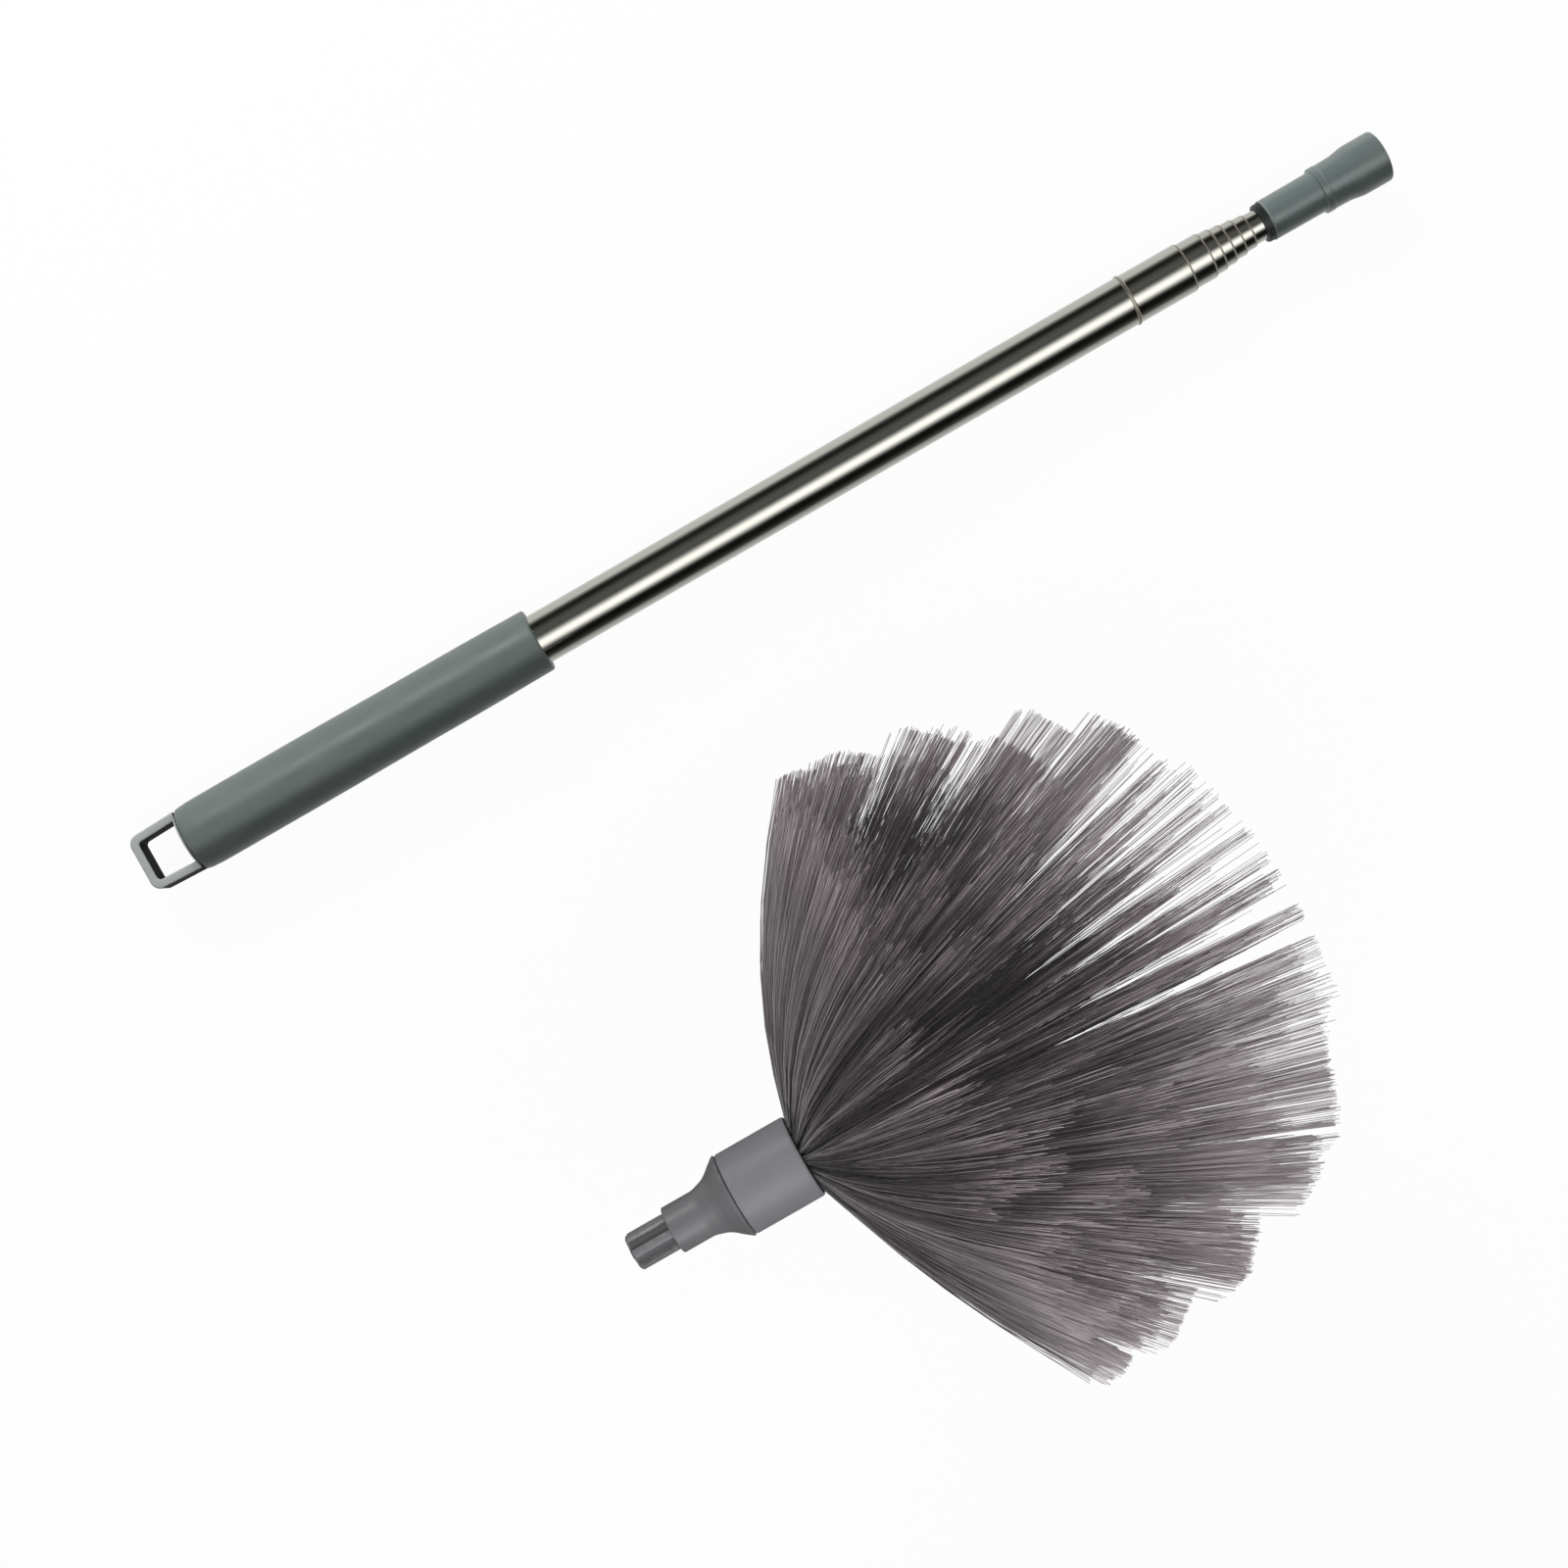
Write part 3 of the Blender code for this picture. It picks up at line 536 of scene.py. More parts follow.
class Paint(Enum):
    """The finishes of the object's own pieces."""

    # The loop's upright faces are painted darker: painted shade.
    LOOP = MouldedPlastic(
        "loop_moulding", linear(214, 219, 217), 0.46, wear=(0.80, 0.81, 0.80), shine=0.3,
        painted_wall_shade=linear(52, 55, 54),
    )
    GRIP = MouldedPlastic("grip_sleeve", linear(124, 135, 131), 0.42, 2600.0, wear=(0.58, 0.62, 0.60))
    SOCKET = MouldedPlastic(
        "socket_moulding", linear(127, 140, 138), 0.30, 2600.0, wear=(0.27, 0.32, 0.31), shine=0.9,
    )
    HEAD = MouldedPlastic(
        "head_moulding", linear(147, 146, 151), 0.52, wear=(0.50, 0.50, 0.52), shine=0.55,
    )
    ADAPTER = MouldedPlastic(
        "adapter_moulding", linear(129, 128, 131), 0.46, wear=(0.46, 0.46, 0.47), shine=0.6,
    )
    BLOCK = MouldedPlastic("bristle_block", linear(58, 57, 60), 0.55)
    NYLON = MouldedPlastic(
        "bush_nylon", linear(219, 218, 212), 0.50, dust=Dust.NONE, wear=(0.8, 0.8, 0.76),
    )
    STEEL = PolishedSteel("polished_tube", (0.53, 0.525, 0.48))
    LIP = PolishedSteel("rolled_lip", (0.46, 0.43, 0.36), 0.50, 20.0)
    # A near-black collar, whose colour is partly painted shade of the sleeve's rear end.
    COLLAR = MouldedPlastic("socket_collar", linear(42, 46, 46), 0.50, dust=Dust.NONE)
    # A pale colour for the socket's edges: painted highlight.
    RIM = MouldedPlastic(
        "socket_painted_highlight", linear(150, 160, 159), 0.42, dust=Dust.NONE, wear=(0.40, 0.43, 0.43),
    )
    # Darker grooves between the plug's ribs, with near-black edges: painted shade.
    GROOVE = MouldedPlastic(
        "plug_groove", linear(88, 88, 91), 0.55, dust=Dust.NONE, wear=(0.06, 0.06, 0.06),
    )
    SCREW = PolishedSteel("zinc_screw", (0.56, 0.56, 0.55), 0.28, 20.0)
    # The root colour is lifted: partly painted light against the shade near the block.
    BRISTLE = Filament(
        "bristle_filament", linear(164, 162, 164), linear(128, 120, 122), linear(164, 150, 153),
    )


@dataclass(frozen=True)
class Corner:
    """One corner of a turned profile.

    Attributes:
        along: Station on the axis.
        radius: Distance from the axis.
        rounding: Radius of the fillet that softens the corner.
    """

    along: float
    radius: float
    rounding: float = 0.0


def filleted(corners: Sequence[Corner], closed: bool = True) -> list[Point]:
    """Round the corners of a profile and hold its long runs flat.

    Args:
        corners: The profile's corners in order.
        closed: Whether the last corner joins the first.

    Returns:
        The points of the rounded profile.
    """
    points: list[Vector] = []
    count = len(corners)
    for index, corner in enumerate(corners):
        here = Vector((corner.along, corner.radius))
        ends = not closed and index in (0, count - 1)
        if corner.rounding <= 0 or ends:
            points.append(here)
            continue
        before = corners[index - 1]
        after = corners[(index + 1) % count]
        back = Vector((before.along, before.radius)) - here
        ahead = Vector((after.along, after.radius)) - here
        half = back.angle(ahead) / 2
        cut = min(corner.rounding / math.tan(half), back.length * 0.49, ahead.length * 0.49)
        start = here + back.normalized() * cut
        end = here + ahead.normalized() * cut
        for step in range(ARC_STEPS + 1):
            share = step / ARC_STEPS
            rest = 1 - share
            points.append(start * rest * rest + here * 2 * rest * share + end * share * share)
    held: list[Point] = []
    total = len(points) if closed else len(points) - 1
    for index, point in enumerate(points):
        held.append((point.x, point.y))
        if index >= total:
            break
        run = points[(index + 1) % len(points)] - point
        if run.length > 6 * HOLD_DISTANCE:
            step = run.normalized() * HOLD_DISTANCE
            held += [tuple(point + step), tuple(point + run - step)]
    return held


def bridge(maker: bmesh.types.BMesh, rings: Sequence[Sequence[bmesh.types.BMVert]]) -> None:
    """Join rings of a swept section and close both ends.

    Args:
        maker: The mesh under construction.
        rings: Rings of vertices in order, each with as many as the next.
    """
    count = len(rings[0])
    for first, second in zip(rings, rings[1:]):
        for index in range(count):
            after = (index + 1) % count
            maker.faces.new((first[index], first[after], second[after], second[index]))
    maker.faces.new(rings[0])
    maker.faces.new(rings[-1])


def finished(name: str, maker: bmesh.types.BMesh, sharp: float = SHARP_ANGLE) -> bpy.types.Object:
    """Turn a bmesh into a shaded object and free it.

    Args:
        name: The object's name.
        maker: The mesh under construction.
        sharp: Angle in degrees from which an edge stays sharp.

    Returns:
        The new object.
    """
    bmesh.ops.remove_doubles(maker, verts=maker.verts, dist=TINY)
    bmesh.ops.recalc_face_normals(maker, faces=maker.faces)
    limit = math.radians(sharp)
    for face in maker.faces:
        face.smooth = True
    for edge in maker.edges:
        if len(edge.link_faces) == 2:
            edge.smooth = edge.calc_face_angle(0.0) < limit
    mesh = bpy.data.meshes.new(name)
    maker.to_mesh(mesh)
    maker.free()
    return placed(name, mesh)


def placed(name: str, data: bpy.types.ID) -> bpy.types.Object:
    """Put a mesh, lamp or camera in the scene.

    Args:
        name: The object's name.
        data: What it shows.

    Returns:
        The new object.
    """
    made = bpy.data.objects.new(name, data)
    bpy.context.scene.collection.objects.link(made)
    return made


def turn(maker: bmesh.types.BMesh, profile: Sequence[Point], sides: int, closed: bool = True,
         centre: Point = (0.0, 0.0)) -> None:
    """Turn a profile about an axis parallel to X, into a bmesh.

    Args:
        maker: The mesh under construction.
        profile: Stations along the axis with their radii.
        sides: Number of sides round the axis.
        closed: Whether the last ring joins the first.
        centre: The axis's place in Y and Z.
    """
    rings: list[list[bmesh.types.BMVert]] = []
    for along, radius in profile:
        if radius < TINY:
            rings.append([maker.verts.new((along, *centre))])
            continue
        ring = []
        for side in range(sides):
            angle = 2 * math.pi * side / sides
            y = centre[0] + radius * math.sin(angle)
            z = centre[1] + radius * math.cos(angle)
            ring.append(maker.verts.new((along, y, z)))
        rings.append(ring)
    pairs = list(zip(rings, rings[1:]))
    if closed:
        pairs.append((rings[-1], rings[0]))
    for first, second in pairs:
        if len(first) == 1 and len(second) == 1:
            continue
        for side in range(sides):
            after = (side + 1) % sides
            corners = [first[side % len(first)], first[after % len(first)],
                       second[after % len(second)], second[side % len(second)]]
            maker.faces.new(list(dict.fromkeys(corners)))


def dress_node(name: str, material: bpy.types.Material) -> None:
    """Give a CAD node that stays in view its finish.

    Args:
        name: The node's name.
        material: The finish.
    """
    node = frame["nodes"][name]
    node.data.materials.clear()
    node.data.materials.append(material)
    LOG.info("%s keeps its CAD shape and shows %s", name, material.name)


@dataclass
class Assembly:
    """A sub-assembly whose pieces share a body and an axis parallel to X.

    Attributes:
        materials: Built materials by finish.
        slot: The record's slot for the finish of its pieces; not used.
        body: The body that carries them.
        axis: The axis's place in Y and Z.
        sides: Number of sides of what is turned about the axis.
        sharp: Angle in degrees from which an edge of it stays sharp.
    """

    materials: Materials
    slot: Slot
    body: Body
    axis: Point = (0.0, 0.0)
    sides: int = 112
    sharp: float = SHARP_ANGLE

    def enlist(self, piece: bpy.types.Object, paint: Paint, *nodes: str) -> None:
        """Dress a piece, let it ride on the body and report it.

        Args:
            piece: The object.
            paint: Its finish.
            nodes: CAD nodes that it stands for.
        """
        body = self.body.value
        piece.data.materials.append(self.materials[paint])
        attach(piece, body)
        if nodes:
            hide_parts(*nodes)
        LOG.info("%s rides %s and shows %s faces", piece.name, body, len(piece.data.polygons))

    def turned(self, name: str, corners: Sequence[Corner], paint: Paint, *nodes: str,
               closed: bool = True) -> None:
        """Turn a filleted profile about the axis and enlist it as one piece.

        Args:
            name: The piece's name.
            corners: The profile's corners in order.
            paint: The piece's finish.
            nodes: CAD nodes that it stands for.
            closed: Whether the last corner joins the first.
        """
        maker = bmesh.new()
        turn(maker, filleted(corners, closed), self.sides, closed, self.axis)
        self.enlist(finished(name, maker, self.sharp), paint, *nodes)


@dataclass
class HangingLoop(Assembly):
    """Rectangular hanging loop with its flange and the spigot inside the pole."""

    slot: Slot = Slot.LOOP
    body: Body = Body.HANDLE
    sides: int = 96
    length: float = 21.6 * MM
    end_width: float = 25.0 * MM
    root_width: float = 26.6 * MM
    thickness: float = 13.5 * MM
    bar: float = 3.7 * MM
    corner: float = 4.4 * MM
    window_corner: float = 1.8 * MM
    edge_round: float = 0.7 * MM
    flange_diameter: float = 26.8 * MM
    flange_thickness: float = 0.8 * MM
    spigot_end: float = 46.4 * MM
    spigot_radius: float = 10.35 * MM
    spigot_wall: float = 1.6 * MM
    line_depth: float = 0.10 * MM
    line: tuple[Point, ...] = ((0.35 * MM, 0), (0.12 * MM, 1), (-0.12 * MM, 1), (-0.35 * MM, 0))
    overlap: float = 0.6 * MM
    side_steps: int = 8
    corner_steps: int = 12
    end_steps: int = 6

    def _rail(self, inset: float, corner: float) -> list[Vector]:
        """Points along one side of the U, from the root round the end and back.

        Args:
            inset: Distance in from the outer outline.
            corner: Radius of the two corners.

        Returns:
            The points in the XY plane.
        """
        slope = (self.root_width - self.end_width) / 2 / self.length
        root = self.length + self.overlap
        near = self.end_width / 2 - inset
        far = near + slope * self.length
        points = []
        for step in range(self.side_steps + 1):
            x = root + (inset + corner - root) * step / self.side_steps
            points.append(Vector((x, near + (far - near) * x / self.length)))
        side = near + (far - near) * (inset + corner) / self.length
        centre = Vector((inset + corner, side - corner))
        for step in range(1, self.corner_steps + 1):
            angle = math.pi / 2 * (1 + step / self.corner_steps)
            points.append(centre + Vector((math.cos(angle), math.sin(angle))) * corner)
        for step in range(1, self.end_steps + 1):
            points.append(Vector((inset, centre.y * (1 - step / self.end_steps))))
        mirrored = [Vector((p.x, -p.y)) for p in reversed(points[:-1])]
        return points + mirrored

    def _section(self) -> list[tuple[bool, float, float]]:
        """The bar's rounded section, with the mould's parting line on its outer side.

        Returns:
            For each point whether it lies on the outer side, how far out it lies from
            that side's rail, and its height.
        """
        half = self.thickness / 2
        section: list[tuple[bool, float, float]] = []
        for outside, height, start in ((False, half, 180), (True, half, 90), (True, -half, 0),
                                       (False, -half, -90)):
            inward = -1 if outside else 1
            for step in range(ARC_STEPS + 1):
                angle = math.radians(start - 90 * step / ARC_STEPS)
                across = inward * self.edge_round + self.edge_round * math.cos(angle)
                up = height - math.copysign(self.edge_round, height) + self.edge_round * math.sin(angle)
                section.append((outside, across, up))
            if outside and height > 0:
                section += [(outside, -self.line_depth * share, up) for up, share in self.line]
        return section

    def _frame(self, maker: bmesh.types.BMesh) -> None:
        """Sweep the rounded bar round the U.

        Args:
            maker: The mesh under construction.
        """
        section = self._section()
        rings = []
        for out, into in zip(self._rail(0.0, self.corner), self._rail(self.bar, self.window_corner)):
            direction = (out - into).normalized()
            ring = []
            for outside, across, up in section:
                flat = (out if outside else into) + direction * across
                ring.append(maker.verts.new((flat.x, flat.y, up)))
            rings.append(ring)
        bridge(maker, rings)

    def build(self) -> None:
        """Build and dress the loop."""
        maker = bmesh.new()
        self._frame(maker)
        seat = self.length + self.flange_thickness
        inner = self.spigot_radius - self.spigot_wall
        profile = filleted((
            Corner(self.length, 0.0),
            Corner(self.length, self.flange_diameter / 2, 0.4 * MM),
            Corner(seat, self.flange_diameter / 2, 0.2 * MM),
            Corner(seat, self.spigot_radius),
            Corner(self.spigot_end, self.spigot_radius, 0.5 * MM),
            Corner(self.spigot_end, inner, 0.3 * MM),
            Corner(seat, inner, 0.3 * MM),
            Corner(seat, 0.0),
        ), closed=False)
        turn(maker, profile, self.sides, closed=False)
        self.enlist(finished("loop_moulding", maker), Paint.LOOP, "hanging_loop")


@dataclass
class GripSleeve(Assembly):
    """Slightly barrelled sleeve on the outermost tube.

    Attributes:
        shares: Shares of the length, each with its share of the swell.
    """

    slot: Slot = Slot.GRIP
    body: Body = Body.HANDLE
    sides: int = 128
    start: float = 22.7 * MM
    length: float = 169.5 * MM
    end_radius: float = 14.15 * MM
    swell: float = 0.7 * MM
    bore_radius: float = 11.04 * MM
    edge_round: float = 1.2 * MM
    shares: tuple[Point, ...] = (
        (0.015, 0.55), (0.04, 0.90), (0.08, 0.98), (0.12, 1.0), (0.18, 1.0), (0.25, 1.0),
        (0.34, 0.98), (0.42, 0.92), (0.50, 0.75), (0.58, 0.60), (0.70, 0.53), (0.82, 0.48),
        (0.90, 0.28), (0.96, 0.1),
    )

    def build(self) -> None:
        """Build and dress the grip."""
        end = self.start + self.length
        corners = [
            Corner(self.start, self.bore_radius),
            Corner(self.start, self.end_radius, self.edge_round),
        ]
        corners += [
            Corner(self.start + self.length * share, self.end_radius + self.swell * swell)
            for share, swell in self.shares
        ]
        corners.append(Corner(end, self.end_radius, self.edge_round))
        corners.append(Corner(end, self.bore_radius, 0.3 * MM))
        self.turned("grip_sleeve", corners, Paint.GRIP, "handle_grip")


@dataclass(kw_only=True)
class SteelTube(Assembly):
    """One polished tube; all but the innermost have a nosed front lip and a rolled stop.

    Attributes:
        step: How much smaller the next tube in is, by radius.
        stop: Where the rolled stop lies, or None for the innermost tube.
        raised: Whether the stop stands out as a bead, as on the outermost tube.
    """

    slot: Slot = Slot.STEEL
    sharp: float = 50.0
    number: int
    rear: float
    front: float
    radius: float
    step: float
    stop: float | None
    raised: bool
    wall: float = 0.35 * MM
    stop_width: float = 2.0 * MM
    bead_height: float = 0.45 * MM
    groove_depth: float = 0.12 * MM
    stop_shape: tuple[Point, ...] = (
        (-1, 0), (-0.72, 0.30), (-0.40, 0.86), (0, 1), (0.40, 0.86), (0.72, 0.30), (1, 0),
    )
    bead_shape: tuple[Point, ...] = ((-0.8, 0.22), (-0.4, 0.86), (0.0, 1.0), (0.4, 0.86), (0.8, 0.22))
    nose: float = 0.95 * MM
    nose_edge: float = 0.10 * MM
    nose_drop: float = 0.42 * MM
    lip_gap: float = 0.15 * MM
    lip_depth: float = 1.2 * MM
    soft: float = 0.1 * MM
    skin: float = 0.03 * MM

    def _ring(self, name: str, outline: Sequence[Point]) -> None:
        """Build a rolled ring whose satin face lies just proud of the polished tube.

        Args:
            name: The piece's name.
            outline: Stations and radii of its face, from the rear to the front.
        """
        corners = [Corner(along, radius + self.skin, 0.08 * MM) for along, radius in outline]
        corners += [Corner(along, radius - self.soft) for along, radius in reversed(outline)]
        self.turned(name, corners, Paint.LIP)

    def build(self) -> None:
        """Build and dress the tube."""
        inside = self.radius - self.wall
        corners = [Corner(self.rear, self.radius, self.soft)]
        if self.stop is None:
            corners.append(Corner(self.front, self.radius, self.soft))
            corners.append(Corner(self.front, inside, self.soft))
        else:
            height = self.bead_height if self.raised else -self.groove_depth
            for offset, share in self.stop_shape:
                along = self.stop + self.stop_width / 2 * offset
                corners.append(Corner(along, self.radius + height * share))
            lip = self.radius - self.step + self.lip_gap
            corners += [
                Corner(self.front - self.nose, self.radius, 0.16 * MM),
                Corner(self.front - self.nose_edge, self.radius - self.nose_drop, 0.14 * MM),
                Corner(self.front, lip, 0.05 * MM),
                Corner(self.front - self.lip_depth, lip),
                Corner(self.front - self.lip_depth - self.lip_gap, inside),
            ]
        corners.append(Corner(self.rear, inside, self.soft))
        self.turned(f"steel_tube_{self.number}", corners, Paint.STEEL, f"tube_{self.number}")
        if self.stop is not None:
            outline = [(self.front - self.nose - 0.1 * MM, self.radius - 0.02 * MM),
                       (self.front - self.nose, self.radius),
                       (self.front - self.nose_edge, self.radius - self.nose_drop)]
            self._ring(f"rolled_lip_{self.number}", outline)
        if self.raised:
            outline = [(self.stop + self.stop_width / 2 * place, self.radius + self.bead_height * height)
                       for place, height in self.bead_shape]
            self._ring("rolled_bead", outline)


@dataclass
class Pole:
    """The telescoping tubes and the bushes that guide them.

    Attributes:
        materials: Built materials by finish.
    """

    materials: Materials
    first_radius: float = 11.0 * MM
    step: float = 0.70 * MM
    first_rear: float = 22.7 * MM
    second_rear: float = 77.0 * MM
    rear_pitch: float = 8.6 * MM
    first_stop: float = 478.0 * MM
    fronts: tuple[float, ...] = (
        506.2 * MM, 516.3 * MM, 521.4 * MM, 526.4 * MM, 531.7 * MM, 536.8 * MM, 578.4 * MM,
    )

    def build(self) -> None:
        """Build every tube and dress the bushes of the frame."""
        for index, (body, front) in enumerate(zip(Body, self.fronts)):
            first, last = index == 0, index == len(self.fronts) - 1
            rear = self.first_rear if first else self.second_rear + self.rear_pitch * (index - 1)
            stop = None if last else self.first_stop + self.rear_pitch * index
            tube = SteelTube(
                self.materials, body=body, number=index + 1, rear=rear, front=front,
                radius=self.first_radius - self.step * index, step=self.step, stop=stop, raised=first,
            )
            tube.build()
            if not first:
                dress_node(f"rear_bush_{index + 1}", self.materials[Paint.NYLON])


@dataclass
class TipSocket(Assembly):
    """Sleeve on the tip with a raised ring, a flared mouth and a bore for the plug.

    Attributes:
        shares: Shares of the flare's length, each with its share of the growth.
    """

    slot: Slot = Slot.SOCKET
    body: Body = Body.SECTION_7
    start: float = 542.0 * MM
    length: float = 58.0 * MM
    collar: float = 3.0 * MM
    collar_radius: float = 8.45 * MM
    rear_radius: float = 8.95 * MM
    tube_radius: float = 6.84 * MM
    ridge: float = 27.7 * MM
    ridge_width: float = 3.0 * MM
    ridge_radius: float = 10.3 * MM
    waist_radius: float = 10.1 * MM
    mouth_radius: float = 11.35 * MM
    bore_radius: float = 8.05 * MM
    depth: float = 19.3 * MM
    web: float = 2.0 * MM
    web_bore: float = 5.0 * MM
    highlight_skin: float = 0.6 * MM
    shares: tuple[Point, ...] = (
        (0.15, 0.05), (0.27, 0.12), (0.32, 0.22), (0.37, 0.40), (0.42, 0.62), (0.46, 0.78),
        (0.50, 0.92), (0.56, 1.0),
    )

    def build(self) -> None:
        """Build and dress the socket."""
        rear = self.start + self.collar
        mouth = self.start + self.length
        ridge = self.start + self.ridge
        front = ridge + self.ridge_width
        flare = mouth - front
        corners = [
            Corner(rear, self.tube_radius, 0.2 * MM),
            Corner(rear, self.rear_radius, 0.35 * MM),
            Corner(ridge - 0.3 * MM, self.rear_radius + 0.12 * MM, 0.2 * MM),
            Corner(ridge, self.ridge_radius, 0.3 * MM),
            Corner(front, self.ridge_radius, 0.3 * MM),
            Corner(front + 0.3 * MM, self.waist_radius, 0.2 * MM),
        ]
        for share, growth in self.shares:
            radius = self.waist_radius + (self.mouth_radius - self.waist_radius) * growth
            corners.append(Corner(front + flare * share, radius, 0.6 * MM))
        floor = mouth - self.depth
        corners += [
            Corner(mouth, self.mouth_radius, 1.2 * MM),
            Corner(mouth, self.bore_radius, 0.7 * MM),
            Corner(floor, self.bore_radius, 0.2 * MM),
            Corner(floor, self.web_bore, 0.1 * MM),
            Corner(floor - self.web, self.web_bore, 0.1 * MM),
            Corner(floor - self.web, self.tube_radius),
        ]
        self.turned("socket_sleeve", corners, Paint.SOCKET, "tip_socket")
        # A dark collar in front of the sleeve; its near-black colour is partly painted shade of the rear
        # end.
        self.turned("socket_collar", (
            Corner(self.start, self.tube_radius, 0.2 * MM),
            Corner(self.start, self.collar_radius, 0.7 * MM),
            Corner(rear + 0.1 * MM, self.collar_radius + 0.2 * MM),
            Corner(rear + 0.1 * MM, self.tube_radius),
        ), Paint.COLLAR)
        # Two pale rings of painted highlight on the sleeve's rear edge and its ridge.
        self._painted_highlight_ring("socket_rear_rim", rear - 0.05 * MM, 1.0 * MM, self.rear_radius + 0.04 * MM)
        self._painted_highlight_ring("socket_ridge_line", front - 0.7 * MM, 0.7 * MM, self.ridge_radius + 0.03 * MM)

    def _painted_highlight_ring(self, name: str, start: float, width: float, radius: float) -> None:
        """Add one thin pale ring of painted highlight where an edge of the sleeve catches the light.

        Args:
            name: The piece's name.
            start: Where the ring starts along the pole.
            width: Its width.
            radius: Its outer radius.
        """
        self.turned(name, (
            Corner(start, radius - self.highlight_skin),
            Corner(start, radius, 0.25 * MM),
            Corner(start + width, radius, 0.15 * MM),
            Corner(start + width, radius - self.highlight_skin),
        ), Paint.RIM)


@dataclass
class PlugAdapter(Assembly):
    """Ribbed plug, neck and concave flare that carries the ferrule.

    Attributes:
        shares: Shares of the flare's length, each with its share of the growth.
    """

    slot: Slot = Slot.HEAD
    body: Body = Body.HEAD
    axis: Point = HEAD_AXIS
    rib_radius: float = 7.6 * MM
    core_radius: float = 6.1 * MM
    bore_radius: float = 4.3 * MM
    plug_length: float = 17.0 * MM
    rib_count: int = 6
    rib_width: float = 3.2 * MM
    lead_in: float = 1.0 * MM
    neck_radius: float = 9.45 * MM
    neck_length: float = 12.6 * MM
    flare_length: float = 14.5 * MM
    flare_radius: float = 16.95 * MM
    wall: float = 1.8 * MM
    web: float = 3.0 * MM
    screw_hole: float = 2.1 * MM
    rib_edge: float = 0.35 * MM
    rib_crown: float = 0.05 * MM
    shade_skin: float = 0.04 * MM
    shares: tuple[Point, ...] = (
        (0.0, 0.0), (0.10, 0.03), (0.18, 0.08), (0.28, 0.14), (0.37, 0.20), (0.46, 0.29),
        (0.53, 0.38), (0.61, 0.50), (0.68, 0.62), (0.76, 0.74), (0.84, 0.86), (0.90, 0.95),
    )

    def _rib(self, maker: bmesh.types.BMesh, turn_angle: float) -> None:
        """Add one rib with a tapered tip and softened edges.

        Args:
            maker: The mesh under construction.
            turn_angle: Its place round the axis, in radians.
        """
        half = self.rib_width / 2
        soft = self.rib_edge
        stations = (
            (0.0, self.core_radius + 0.25 * MM),
            (self.lead_in * 0.5, self.rib_radius - 0.45 * MM),
            (self.lead_in, self.rib_radius - 0.08 * MM),
            (self.lead_in * 1.4, self.rib_radius),
            (self.plug_length + 0.2 * MM, self.rib_radius),
        )
        rings = []
        base = self.core_radius - 0.5 * MM
        for along, top in stations:
            section = ((-half, base), (-half, top - soft), (-half + soft * 0.3, top - soft * 0.3),
                       (-half + soft, top), (0.0, top + self.rib_crown), (half - soft, top),
                       (half - soft * 0.3, top - soft * 0.3), (half, top - soft), (half, base))
            ring = []
            for across, out in section:
                out = min(out, self.rib_radius)
                y = math.sin(turn_angle) * out + math.cos(turn_angle) * across
                z = math.cos(turn_angle) * out - math.sin(turn_angle) * across
                ring.append(maker.verts.new((HEAD_TIP.x + along, HEAD_TIP.y + y, HEAD_TIP.z + z)))
            rings.append(ring)
        bridge(maker, rings)

    def build(self) -> None:
        """Build and dress the adapter."""
        tip = HEAD_TIP.x
        neck = tip + self.plug_length
        flare = neck + self.neck_length
        end = flare + self.flare_length
        corners = [
            Corner(tip, self.bore_radius, 0.3 * MM),
            Corner(tip, self.core_radius, 0.4 * MM),
            Corner(neck, self.core_radius),
            Corner(neck, self.neck_radius, 0.6 * MM),
        ]
        for share, growth in self.shares:
            radius = self.neck_radius + (self.flare_radius - self.neck_radius) * growth
            corners.append(Corner(flare + self.flare_length * share, radius, 0.5 * MM))
        inner = self.flare_radius - self.wall
        bore = self.neck_radius - self.wall
        corners += [
            Corner(end - 0.9 * MM, self.flare_radius, 0.3 * MM),
            Corner(end, self.flare_radius - 0.8 * MM, 0.2 * MM),
            Corner(end, inner, 0.2 * MM),
            Corner(flare + self.flare_length * 0.9, inner - 0.6 * MM, 0.5 * MM),
            Corner(flare + self.flare_length * 0.35, bore + 0.8 * MM, 0.5 * MM),
            Corner(neck + self.web, bore, 0.3 * MM),
            Corner(neck + self.web, self.screw_hole, 0.1 * MM),
            Corner(neck, self.screw_hole, 0.1 * MM),
            Corner(neck, self.bore_radius, 0.2 * MM),
        ]
        maker = bmesh.new()
        turn(maker, filleted(corners), self.sides, centre=self.axis)
        for index in range(self.rib_count):
            self._rib(maker, 2 * math.pi * index / self.rib_count)
        self.enlist(finished("plug_moulding", maker), Paint.ADAPTER, "plug_adapter")
        # A thin darker skin on the core between the ribs: painted shade in the grooves.
        self.turned("plug_grooves", (
            Corner(tip + 0.6 * MM, self.core_radius - 0.5 * MM),
            Corner(tip + 0.6 * MM, self.core_radius + self.shade_skin, 0.2 * MM),
            Corner(neck + 0.1 * MM, self.core_radius + self.shade_skin),
            Corner(neck + 0.1 * MM, self.core_radius - 0.5 * MM),
        ), Paint.GROOVE)
        dress_node("hub_screw", self.materials[Paint.SCREW])


